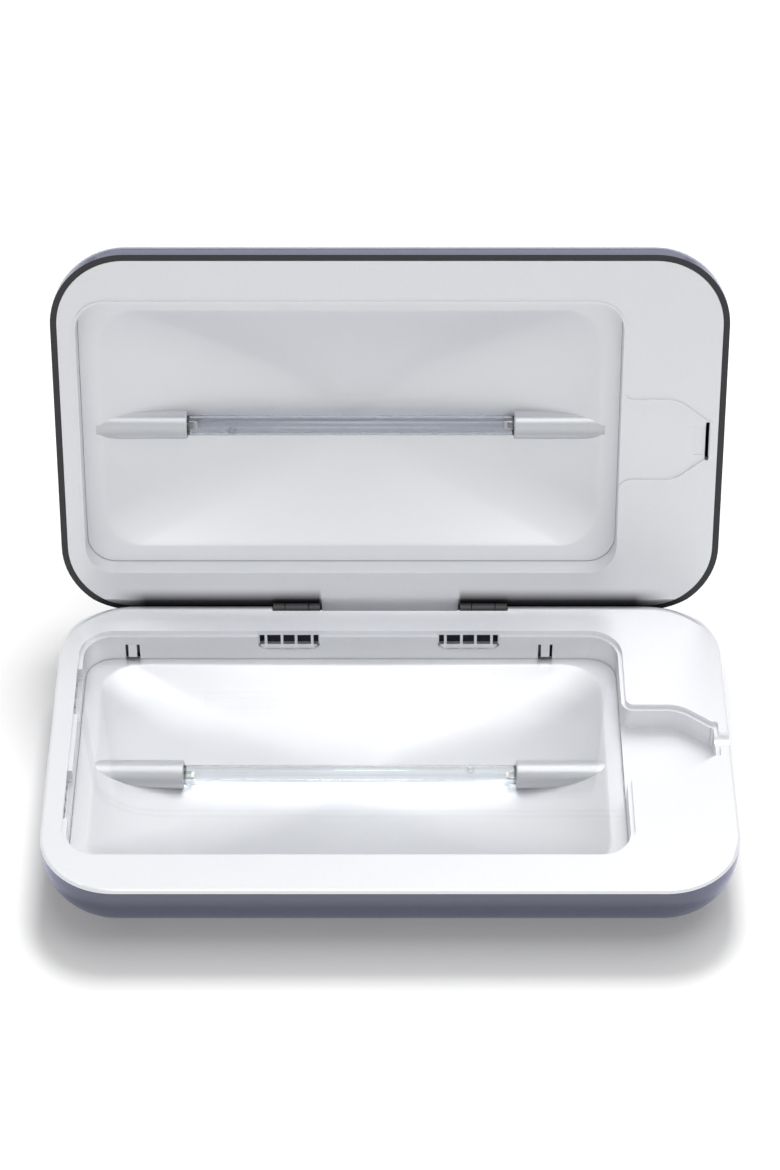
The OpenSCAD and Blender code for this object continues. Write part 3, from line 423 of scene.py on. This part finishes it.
# Fused quartz sheet, polished: almost all light goes through, the rest is a mirror, stronger at a slant
def polishedQuartzSheet():
    material, tree = newMaterial("polishedQuartzSheet")
    coords = addNode(tree, "ShaderNodeTexCoord")
    wave = addNode(tree, "ShaderNodeTexNoise",
                   {"Vector": (coords, "Object"), "Scale": 25.0, "Detail": 1.0})
    flow = addNode(tree, "ShaderNodeBump",
                   {"Height": (wave, "Fac"), "Strength": 0.02, "Distance": 0.001})
    side = addNode(tree, "ShaderNodeNewGeometry")
    # the light isn't bent here, so the far face mirrors as little as the near one
    index = addNode(tree, "ShaderNodeMapRange",
                    {"Value": (side, "Backfacing"), "To Min": finishes["quartzIor"],
                     "To Max": 1 / finishes["quartzIor"]})
    slant = addNode(tree, "ShaderNodeFresnel", {"IOR": (index, "Result"), "Normal": (flow, "Normal")})
    through = addNode(tree, "ShaderNodeBsdfTransparent", {"Color": linearColour("fefefe")})
    mirror = addNode(tree, "ShaderNodeBsdfGlossy", {"Roughness": 0.01, "Normal": (flow, "Normal")})
    sheet = addNode(tree, "ShaderNodeMixShader", {0: (slant, 0), 1: (through, 0), 2: (mirror, 0)})
    addNode(tree, "ShaderNodeOutputMaterial", {"Surface": (sheet, 0)})
    return material


# Drawn quartz tube: clear, with faint draw lines along it
def drawnQuartzTube(name, colour):
    material, tree = newMaterial(name)
    coords = addNode(tree, "ShaderNodeTexCoord")
    along = addNode(tree, "ShaderNodeMapping",
                    {"Vector": (coords, "Object"), "Scale": finishes["drawLines"]})
    lines = addNode(tree, "ShaderNodeTexNoise",
                    {"Vector": (along, "Vector"), "Scale": 1.0, "Detail": 1.0})
    drawn = addNode(tree, "ShaderNodeMapRange",
                    {"Value": (lines, "Fac"), "To Min": 0.01, "To Max": 0.035})
    path = addNode(tree, "ShaderNodeLightPath")
    quartz = addNode(tree, "ShaderNodeBsdfPrincipled", {
        "Base Color": linearColour(colour), "Roughness": (drawn, "Result"),
        "IOR": finishes["quartzIor"], "Transmission Weight": 1.0})
    through = addNode(tree, "ShaderNodeBsdfTransparent", {"Color": linearColour("f4f6f8")})
    tube = addNode(tree, "ShaderNodeMixShader",
                   {0: (path, "Is Shadow Ray"), 1: (quartz, 0), 2: (through, 0)})
    addNode(tree, "ShaderNodeOutputMaterial", {"Surface": (tube, 0)})
    return material


# A finish with one colour, a cloud of tone and a fine grain
def grainedFinish(name, colour, roughness, metallic=0.0, depth=0.05, tone=0.06):
    material, tree = newMaterial(name)
    coords = addNode(tree, "ShaderNodeTexCoord")
    grain = addNode(tree, "ShaderNodeTexNoise",
                    {"Vector": (coords, "Object"), "Scale": finishes["perMetreOfGrain"], "Detail": 2.0})
    cloud = addNode(tree, "ShaderNodeTexNoise",
                    {"Vector": (coords, "Object"), "Scale": finishes["cloudScale"], "Detail": 3.0})
    shade = leaningColour(tree, colour, (cloud, "Fac"), 1 - tone, 1 + tone)
    bump = addNode(tree, "ShaderNodeBump",
                   {"Height": (grain, "Fac"), "Strength": depth, "Distance": 0.0002})
    surface = addNode(tree, "ShaderNodeBsdfPrincipled", {
        "Base Color": (shade, "Color"), "Roughness": roughness, "Metallic": metallic,
        "Normal": (bump, "Normal")})
    addNode(tree, "ShaderNodeOutputMaterial", {"Surface": (surface, 0)})
    return material


baseRim = (baseHalf @ Vector((0, 0, 0)), Vector((0, 0, 1)))
lidRim = (lidHalf @ Vector((0, 0, 0)), (lidHalf.to_3x3() @ Vector((0, 0, 1))).normalized())
basePaint = gunmetalLacquer("slateLacquerOnBase", *baseRim)
lidPaint = gunmetalLacquer("slateLacquerOnLid", *lidRim)
silverPaint = satinSilverPaint("satinSilverPaintOnTray", finishes["silverColour"], 0.72)
# the lid's silver has painted shade near the hinge
lidSilver = satinSilverPaint("satinSilverPaintOnLid", finishes["silverColour"], 0.72, paintedHingeShade=True)
capPaint = satinSilverPaint("greySilverPaintOnCap", finishes["capColour"], 0.5)
dishMetal = depositedAluminium()
quartzSheet = polishedQuartzSheet()
tubes = {
    "base": drawnQuartzTube("drawnQuartzTube", "f4f7f8"),
    # the lid's tube: the same glass with a greyer tint, so it shows darker than the base's
    "lid": drawnQuartzTube("drawnQuartzTubeGreyTinted", "d9dbe0"),
}
# matt black, soft sheen
siliconeRubber = grainedFinish("mouldedSiliconeRubber", finishes["rubberColour"], 0.62)
blackNylon = grainedFinish("mouldedBlackNylon", "232427", 0.45)  # near black, slightly waxy
# solder mask shine
boardLaminate = grainedFinish("greenGlassEpoxyLaminate", finishes["boardColour"], 0.38, tone=0.12)
# warm metal under varnish
copperWire = grainedFinish("enamelledCopperWire", finishes["copperColour"], 0.3, metallic=1.0)
blackSteel = grainedFinish("blackenedSteelPin", "2b2b2d", 0.4, metallic=0.8)  # oxide black, dull shine
# bright bluish metal
zincSteel = grainedFinish("zincPlatedSteel", finishes["steelColour"], 0.28, metallic=1.0, tone=0.1)
# yellowish white metal
nickelWire = grainedFinish("drawnNickelWire", finishes["nickelColour"], 0.25, metallic=1.0)
# white emitter paste on grey wire
tungstenCoil = grainedFinish("coatedTungstenCoil", "e8e6df", 0.5, metallic=0.2)
tintedLens = grainedFinish("smokedPolycarbonate", "2c2e36", 0.12, depth=0.01)  # dark glossy window
print("finishes made")

# nodes that keep their CAD shape
keptNodes = {
    "base_shell": basePaint,
    "lid_shell": lidPaint,
    "base_tray": silverPaint,
    "lid_liner": lidSilver,
    "base_lamp_cap_left": capPaint,
    "base_lamp_cap_right": capPaint,
    "lid_lamp_cap_left": capPaint,
    "lid_lamp_cap_right": capPaint,
    "base_lamp_boots": siliconeRubber,
    "lid_lamp_boots": siliconeRubber,
    "base_lamp_leads": siliconeRubber,
    "lid_lamp_leads": siliconeRubber,
    "rubber_feet": siliconeRubber,
    "control_board": boardLaminate,
    "lamp_driver": boardLaminate,
    "indicator_board": boardLaminate,
    "driver_transformer": copperWire,
    "lid_switch": tubes["base"],
    "power_inlet": blackNylon,
    "usb_socket": zincSteel,
    "hinge_pins": blackSteel,
    "lid_magnet": nickelWire,
    "indicator_lens": tintedLens,
}
for name, material in keptNodes.items():
    if not nodes[name].material_slots:
        nodes[name].data.materials.append(material)
    for place in nodes[name].material_slots:
        place.material = material
print("kept nodes painted,", len(keptNodes))

# dishes
dish = {
    "flange": (90.35, 49.45, 9.45),  # half sizes and corner radius of the flat edge
    "wall": 0.8,
    "cornerRadius": 13,
    "softening": 16,  # the corners round off towards the middle
    "power": 4,  # along the lamp
    "crossPower": 2.1,  # across the lamp
    "endShare": 0.34,  # the caps' floors keep the first form
    "lip": 0.35,  # radius where the flange rolls into the bowl
    "rings": 56,
    "ringReach": 0.985,  # the last ring is this near to the middle
    "ringSpread": 1.25,  # the rings lie closer at the edge
    "narrowest": 0.96,
    "sharpFrom": 35,
    "cornerSteps": 14,
    "sideSteps": 10,
    "base": {"halfX": 85.5, "halfY": 47.0, "drop": 11.2, "top": -12.0},
    "lid": {"halfX": 84.6, "halfY": 44.0, "drop": 9.4, "top": -8.0},
}


# Points round a rectangle with round corners, the same number on every ring
def roundRing(halfX, halfY, radius, z):
    ring = []
    corners = [(1, 1), (-1, 1), (-1, -1), (1, -1)]
    for index, (sx, sy) in enumerate(corners):
        centre = (sx * (halfX - radius), sy * (halfY - radius))
        for step in range(dish["cornerSteps"] + 1):
            angle = math.radians(90 * index + 90 * step / dish["cornerSteps"])
            ring.append((centre[0] + radius * math.cos(angle), centre[1] + radius * math.sin(angle), z))
        nextSx, nextSy = corners[(index + 1) % 4]
        nextCentre = (nextSx * (halfX - radius), nextSy * (halfY - radius))
        angle = math.radians(90 * index + 90)
        start = Vector(ring[-1])
        end = Vector((nextCentre[0] + radius * math.cos(angle),
                      nextCentre[1] + radius * math.sin(angle), z))
        ring += [tuple(start.lerp(end, s / dish["sideSteps"])) for s in range(1, dish["sideSteps"])]
    return ring


# A bowl with a rolled lip, that falls by a fourth power from its ends and more evenly across the lamp
def makeDish(name, form, place):
    rings = [roundRing(*dish["flange"], 0)]
    lip = dish["lip"]
    for step in range(dish["rings"] + 1):
        share = 1 - dish["ringReach"] * (step / dish["rings"]) ** dish["ringSpread"]
        softened = dish["cornerRadius"] * share + dish["softening"] * (1 - share)
        radius = min(form["halfY"] * share * dish["narrowest"], softened)
        ring = []
        for x, y, flat in roundRing(form["halfX"] * share, form["halfY"] * share, radius, 0):
            u, v = (x / form["halfX"]) ** 2, (y / form["halfY"]) ** 2
            turn = max(0, (v / (u + v) - dish["endShare"]) / (1 - dish["endShare"]))
            power = dish["power"] - (dish["power"] - dish["crossPower"]) * turn * turn * (3 - 2 * turn)
            fall = form["drop"] * (1 - share ** power)
            ring.append((x, y, -(math.hypot(fall, lip) - lip)))
        rings.append(ring)
    count = len(rings[0])
    lowest = -(math.hypot(form["drop"], lip) - lip)
    points = [p for ring in rings for p in ring] + [(0, 0, lowest)]
    faces = []
    for r in range(len(rings) - 1):
        for i in range(count):
            j = (i + 1) % count
            faces.append((r * count + i, r * count + j, (r + 1) * count + j, (r + 1) * count + i))
    last = (len(rings) - 1) * count
    faces += [(last + i, last + (i + 1) % count, len(points) - 1) for i in range(count)]
    under = len(points)
    points += [(x, y, z - dish["wall"]) for x, y, z in points]
    faces += [tuple(under + v for v in reversed(f)) for f in faces]
    faces += [(i, under + i, under + (i + 1) % count, (i + 1) % count) for i in range(count)]
    piece = addMesh(name, points, faces, place @ Matrix.Translation((0, 0, form["top"])))
    piece.data.set_sharp_from_angle(angle=math.radians(dish["sharpFrom"]))
    return piece


seatPiece(makeDish("baseDish", dish["base"], baseBowl), dishMetal, "base", "bright_dish",
          "base_reflector")
seatPiece(makeDish("lidDish", dish["lid"], lidBowl), dishMetal, "lid", "bright_dish", "lid_reflector")
print("dishes made")

# quartz sheet over the base dish
sheet = {"halfX": 90.1, "halfY": 49.2, "corner": 9.2, "thick": 1.5, "low": -11.98, "chamfer": 0.25,
         "sharpFrom": 30}


def makeSheet():
    half, edge = (sheet["halfX"], sheet["halfY"]), sheet["chamfer"]
    low, high = sheet["low"], sheet["low"] + sheet["thick"]
    levels = [(edge, low), (0, low + edge), (0, high - edge), (edge, high)]
    rings = [roundRing(half[0] - d, half[1] - d, sheet["corner"] - d, z) for d, z in levels]
    count = len(rings[0])
    points = [p for ring in rings for p in ring]
    faces = [tuple(reversed(range(count))), tuple(3 * count + i for i in range(count))]
    for r in range(3):
        for i in range(count):
            j = (i + 1) % count
            faces.append((r * count + i, r * count + j, (r + 1) * count + j, (r + 1) * count + i))
    piece = addMesh("quartzSheet", points, faces, baseBowl)
    piece.data.set_sharp_from_angle(angle=math.radians(sheet["sharpFrom"]))
    return piece


seatPiece(makeSheet(), quartzSheet, "base", "quartz", "quartz_plate")
print("quartz sheet made")

# lamps
lamp = {
    "radius": 3.4,
    "wall": 0.7,
    "halfLength": 61.2,
    "endRound": (1.6, 1.2),  # along the tube and across it
    "endAngles": (0, 30, 60, 90),
    "hollowFrom": 2.2,  # from the end of the tube to its hollow
    "hollowShoulder": (2.6, 0.4),
    "hollowFull": 3.4,
    "endCap": 0.002,  # m from the axis, where faces look along the tube
    "skinSplit": 1.9,  # nearer the end than this lies only the outer skin
    "onAxis": 0.01,  # radius that closes an end
    "capStart": 55.2,
    "wireInside": 3,  # from the cap's mouth
    "nubAt": 39.9,
    "nubTurn": 10,
    "nubSink": 0.45,
    "nubSteps": 20,
    "nubProfile": [(0, 1.5), (0.3, 1.35), (0.7, 1.0), (1.05, 0.82), (1.4, 0.8), (1.75, 0.62),
                   (1.95, 0.3), (2.0, 0.01)],
    "wireRadius": 0.4,
    "wireApart": 1.3,
    "wireEnd": 63.0,
    "wireSteps": 16,
    "coilRadius": 0.55,
    "coilWire": 0.14,
    "coilTurns": 9.0,
    "coilAt": 52.6,
    "base": {"axis": -17.5, "nubSide": 1},
    "lid": {"axis": -12.0, "nubSide": -1},
}


# Turns a profile of (x, radius) round the X axis
def latheX(profile, steps=48):
    points, faces = [], []
    for x, radius in profile:
        for s in range(steps):
            a = 2 * math.pi * s / steps
            points.append((x, radius * math.cos(a), radius * math.sin(a)))
    for r in range(len(profile) - 1):
        for s in range(steps):
            t = (s + 1) % steps
            faces.append((r * steps + s, (r + 1) * steps + s, (r + 1) * steps + t, r * steps + t))
    return points, faces


# Tube with closed, rounded ends and a hollow inside
def makeTube(name, form, place):
    outer, inner, half = lamp["radius"], lamp["radius"] - lamp["wall"], lamp["halfLength"]
    along, across = lamp["endRound"]
    angles = [math.radians(a) for a in lamp["endAngles"]]
    bow = [(half - along * (1 - math.sin(a)), outer - across * (1 - math.cos(a))) for a in angles]
    closed = lamp["onAxis"]
    profile = [(half, closed)] + list(reversed(bow)) + [(-x, r) for x, r in bow] + [(-half, closed)]
    points, faces = latheX(profile)
    back, drawnIn = lamp["hollowShoulder"]
    hollow = [(half - lamp["hollowFrom"], closed), (half - back, inner - drawnIn),
              (half - lamp["hollowFull"], inner)]
    inside, insideFaces = latheX(hollow + [(-x, r) for x, r in reversed(hollow)])
    start = len(points)
    mesh = points + inside
    allFaces = faces + [tuple(start + v for v in f) for f in insideFaces]
    tube = addMesh(name, mesh, allFaces, place @ Matrix.Translation((0, 0, form["axis"])))
    shape = bmesh.new()  # the inner skin faces the hollow
    shape.from_mesh(tube.data)
    axis = place @ Vector((0, 0, form["axis"]))
    limit = (lamp["radius"] - lamp["wall"] / 2) * 0.001
    ends = (half - lamp["skinSplit"]) * 0.001
    for face in shape.faces:
        centre = face.calc_center_median() - axis
        radial = Vector((0, centre.y, centre.z))
        facesIn = radial.length < limit and abs(centre.x) < ends
        outward = radial if radial.length > lamp["endCap"] else Vector((centre.x, 0, 0))
        if (face.normal.dot(outward) < 0) != facesIn:
            face.normal_flip()
    shape.to_mesh(tube.data)
    shape.free()
    tube.data.shade_smooth()
    return tube


# The drop of glass where the tube was pumped out and sealed
def makeNub(name, form, place):
    lift = lamp["radius"] - lamp["nubSink"]
    points, faces = latheX(lamp["nubProfile"], lamp["nubSteps"])
    stand = Matrix.Rotation(math.radians(-90), 4, "Y")
    turn = Matrix.Rotation(math.radians(lamp["nubTurn"] * form["nubSide"]), 4, "X")
    spot = Matrix.Translation((lamp["nubAt"] * form["nubSide"], 0, form["axis"]))
    return addMesh(name, points, faces, place @ spot @ turn @ Matrix.Translation((0, 0, lift)) @ stand)


# Filament coil across the lead-in wires: a helix swept with a round wire
def coilTree():
    tree = newTree("filamentCoil", {"Coil Radius": 0.5, "Length": 2.6, "Turns": 9.0, "Wire": 0.1,
                                    "Metal": None})
    start = addNode(tree, "NodeGroupInput")
    helix = addNode(tree, "GeometryNodeCurveSpiral", {
        "Resolution": 24, "Rotations": (start, "Turns"), "Start Radius": (start, "Coil Radius"),
        "End Radius": (start, "Coil Radius"), "Height": (start, "Length")})
    wire = addNode(tree, "GeometryNodeCurvePrimitiveCircle",
                   {"Resolution": 8, "Radius": (start, "Wire")})
    swept = addNode(tree, "GeometryNodeCurveToMesh",
                    {"Curve": (helix, 0), "Profile Curve": (wire, 0), "Fill Caps": True})
    drop = addNode(tree, "ShaderNodeMath", {0: (start, "Length"), 1: -0.5}, operation="MULTIPLY")
    shift = addNode(tree, "ShaderNodeCombineXYZ", {"Z": (drop, 0)})
    centred = addNode(tree, "GeometryNodeTransform",
                      {"Geometry": (swept, 0), "Translation": (shift, 0)})
    laid = addNode(tree, "GeometryNodeTransform",
                   {"Geometry": (centred, 0), "Rotation": (math.radians(90), 0, 0)})
    placed = addNode(tree, "GeometryNodeInstanceOnPoints",
                     {"Points": (start, "Geometry"), "Instance": (laid, 0)})
    real = addNode(tree, "GeometryNodeRealizeInstances", {"Geometry": (placed, 0)})
    painted = addNode(tree, "GeometryNodeSetMaterial",
                      {"Geometry": (real, 0), "Material": (start, "Metal")})
    addNode(tree, "NodeGroupOutput", {"Geometry": (painted, 0)})
    return tree


filament = coilTree()


def makeElectrodes(name, form, place):
    points, faces = [], []
    for side in (-1, 1):
        for apart in (-1, 1):
            near, far = side * (lamp["capStart"] - lamp["wireInside"]), side * lamp["wireEnd"]
            profile = [(near, lamp["onAxis"]), (near, lamp["wireRadius"]), (far, lamp["wireRadius"]),
                       (far, lamp["onAxis"])]
            rod, rodFaces = latheX(profile, lamp["wireSteps"])
            faces += [tuple(len(points) + v for v in f) for f in rodFaces]
            points += [(x, y + apart * lamp["wireApart"], z) for x, y, z in rod]
    axis = place @ Matrix.Translation((0, 0, form["axis"]))
    wires = addMesh(name + "Wires", points, faces, axis)
    wires.data.set_sharp_from_angle(angle=math.radians(tools["sharpFrom"]))
    sizes = {"Coil Radius": lamp["coilRadius"], "Length": 2 * lamp["wireApart"],
             "Turns": lamp["coilTurns"], "Wire": lamp["coilWire"], "Metal": tungstenCoil}
    spots = [(side * lamp["coilAt"], 0, 0) for side in (-1, 1)]
    coils = growPiece(name + "Coils", filament, spots, sizes, axis)
    return wires, coils


for half, place in (("base", baseBowl), ("lid", lidBowl)):
    form = lamp[half]
    seatPiece(makeTube(half + "LampTube", form, place), tubes[half], half, "lamp_glass", half + "_lamp")
    seatPiece(makeNub(half + "LampNub", form, place), tubes[half], half, "lamp_glass")
    wires, coils = makeElectrodes(half + "Electrode", form, place)
    seatPiece(wires, nickelWire, half, "lead_wire", half + "_electrodes")
    seatPiece(coils, tungstenCoil, half, "lead_wire")
print("lamps made")

# screws
screw = {
    "case": {"headRadius": 2.5, "headHeight": 1.8, "shankRadius": 1.25, "shankLength": 10.0,
             "pitch": 1.0, "slot": 0.6},
    "board": {"headRadius": 1.9, "headHeight": 1.2, "shankRadius": 1.0, "shankLength": 5.6,
              "pitch": 0.7, "slot": 0.5},
    "casePlaces": [(-84, -56.2), (-84, 56.2), (-6, -56.2), (72, -56.2), (72, 56.2)],
    "caseSeat": -17.0,
    "boardPlaces": [(88.5, 0.6 + y) for y in (-46.1, -22.5, 22.5, 46.1)],
    "boardSeat": -14.4,
    "barReach": 1.15,  # length of the recess over the head's radius
    "barDrop": -0.95,
    "coreShare": 0.86,  # core of the thread over the shank
    "ridgeShare": 0.88,
    "threadShare": 0.92,  # length of the thread over the shank's
    "ridgeRadius": 0.15,
    "threadStart": 0.2,
}


# Pan head screw: round head with a cross recess, and a helical thread on its shank
def screwTree():
    tree = newTree("crossHeadScrew", {"Head Radius": 2.5, "Head Height": 1.8, "Shank Radius": 1.25,
                                      "Shank Length": 10.0, "Thread Turns": 9.0, "Slot": 0.6,
                                      "Metal": None})
    start = addNode(tree, "NodeGroupInput")
    # head, its top at z = -height and its seat at z = 0
    head = addNode(tree, "GeometryNodeMeshCylinder",
                   {"Vertices": 40, "Side Segments": 1, "Radius": (start, "Head Radius"),
                    "Depth": (start, "Head Height")})
    halfDown = addNode(tree, "ShaderNodeMath", {0: (start, "Head Height"), 1: -0.5},
                       operation="MULTIPLY")
    headShift = addNode(tree, "ShaderNodeCombineXYZ", {"Z": (halfDown, 0)})
    headPlaced = addNode(tree, "GeometryNodeTransform",
                         {"Geometry": (head, 0), "Translation": (headShift, 0)})
    # cross recess from two bars
    barLength = addNode(tree, "ShaderNodeMath", {0: (start, "Head Radius"), 1: screw["barReach"]},
                        operation="MULTIPLY")
    barSize = addNode(tree, "ShaderNodeCombineXYZ",
                      {"X": (barLength, 0), "Y": (start, "Slot"), "Z": (start, "Head Height")})
    bar = addNode(tree, "GeometryNodeMeshCube", {"Size": (barSize, 0)})
    fullDown = addNode(tree, "ShaderNodeMath", {0: (start, "Head Height"), 1: screw["barDrop"]},
                       operation="MULTIPLY")
    barShift = addNode(tree, "ShaderNodeCombineXYZ", {"Z": (fullDown, 0)})
    barOne = addNode(tree, "GeometryNodeTransform",
                     {"Geometry": (bar, 0), "Translation": (barShift, 0)})
    barTwo = addNode(tree, "GeometryNodeTransform", {"Geometry": (bar, 0), "Translation": (barShift, 0),
                                                     "Rotation": (0, 0, math.radians(90))})
    cut = addNode(tree, "GeometryNodeMeshBoolean", {"Mesh 1": (headPlaced, 0)}, operation="DIFFERENCE")
    tree.links.new(barOne.outputs[0], cut.inputs["Mesh 2"])
    tree.links.new(barTwo.outputs[0], cut.inputs["Mesh 2"])
    # shank and thread
    shank = addNode(tree, "GeometryNodeMeshCylinder",
                    {"Vertices": 24, "Radius": (start, "Shank Radius"), "Depth": (start, "Shank Length")})
    halfUp = addNode(tree, "ShaderNodeMath", {0: (start, "Shank Length"), 1: 0.5}, operation="MULTIPLY")
    shankShift = addNode(tree, "ShaderNodeCombineXYZ", {"Z": (halfUp, 0)})
    core = addNode(tree, "GeometryNodeTransform",
                   {"Geometry": (shank, 0), "Translation": (shankShift, 0),
                    "Scale": (screw["coreShare"], screw["coreShare"], 1.0)})
    ridgeRadius = addNode(tree, "ShaderNodeMath", {0: (start, "Shank Radius"), 1: screw["ridgeShare"]},
                          operation="MULTIPLY")
    ridgeHeight = addNode(tree, "ShaderNodeMath", {0: (start, "Shank Length"), 1: screw["threadShare"]},
                          operation="MULTIPLY")
    helix = addNode(tree, "GeometryNodeCurveSpiral", {
        "Resolution": 20, "Rotations": (start, "Thread Turns"), "Start Radius": (ridgeRadius, 0),
        "End Radius": (ridgeRadius, 0), "Height": (ridgeHeight, 0)})
    ridge = addNode(tree, "GeometryNodeCurvePrimitiveCircle",
                    {"Resolution": 4, "Radius": screw["ridgeRadius"]})
    thread = addNode(tree, "GeometryNodeCurveToMesh",
                     {"Curve": (helix, 0), "Profile Curve": (ridge, 0), "Fill Caps": True})
    threadUp = addNode(tree, "GeometryNodeTransform",
                       {"Geometry": (thread, 0), "Translation": (0, 0, screw["threadStart"])})
    whole = addNode(tree, "GeometryNodeJoinGeometry")
    for part in (threadUp, core, cut):
        tree.links.new(part.outputs[0], whole.inputs[0])
    placed = addNode(tree, "GeometryNodeInstanceOnPoints",
                     {"Points": (start, "Geometry"), "Instance": (whole, 0)})
    real = addNode(tree, "GeometryNodeRealizeInstances", {"Geometry": (placed, 0)})
    painted = addNode(tree, "GeometryNodeSetMaterial",
                      {"Geometry": (real, 0), "Material": (start, "Metal")})
    addNode(tree, "NodeGroupOutput", {"Geometry": (painted, 0)})
    return tree


def makeScrews(name, kind, points, place):
    size = screw[kind]
    sizes = {"Head Radius": size["headRadius"], "Head Height": size["headHeight"],
             "Shank Radius": size["shankRadius"], "Shank Length": size["shankLength"],
             "Thread Turns": size["shankLength"] / size["pitch"], "Slot": size["slot"],
             "Metal": zincSteel}
    return growPiece(name, screws, points, sizes, place)


screws = screwTree()
caseSpots = [(x, y, screw["caseSeat"]) for x, y in screw["casePlaces"]]
seatPiece(makeScrews("caseScrews", "case", caseSpots, baseHalf), None, "base", "plated_steel",
          "case_screws")
turned = Matrix.Rotation(math.radians(180), 4, "X")  # these are driven from above
boardSpots = [(x, -y, -screw["boardSeat"]) for x, y in screw["boardPlaces"]]
seatPiece(makeScrews("boardScrews", "board", boardSpots, baseHalf @ turned), None, "base",
          "plated_steel", "board_screws")
print("screws made")
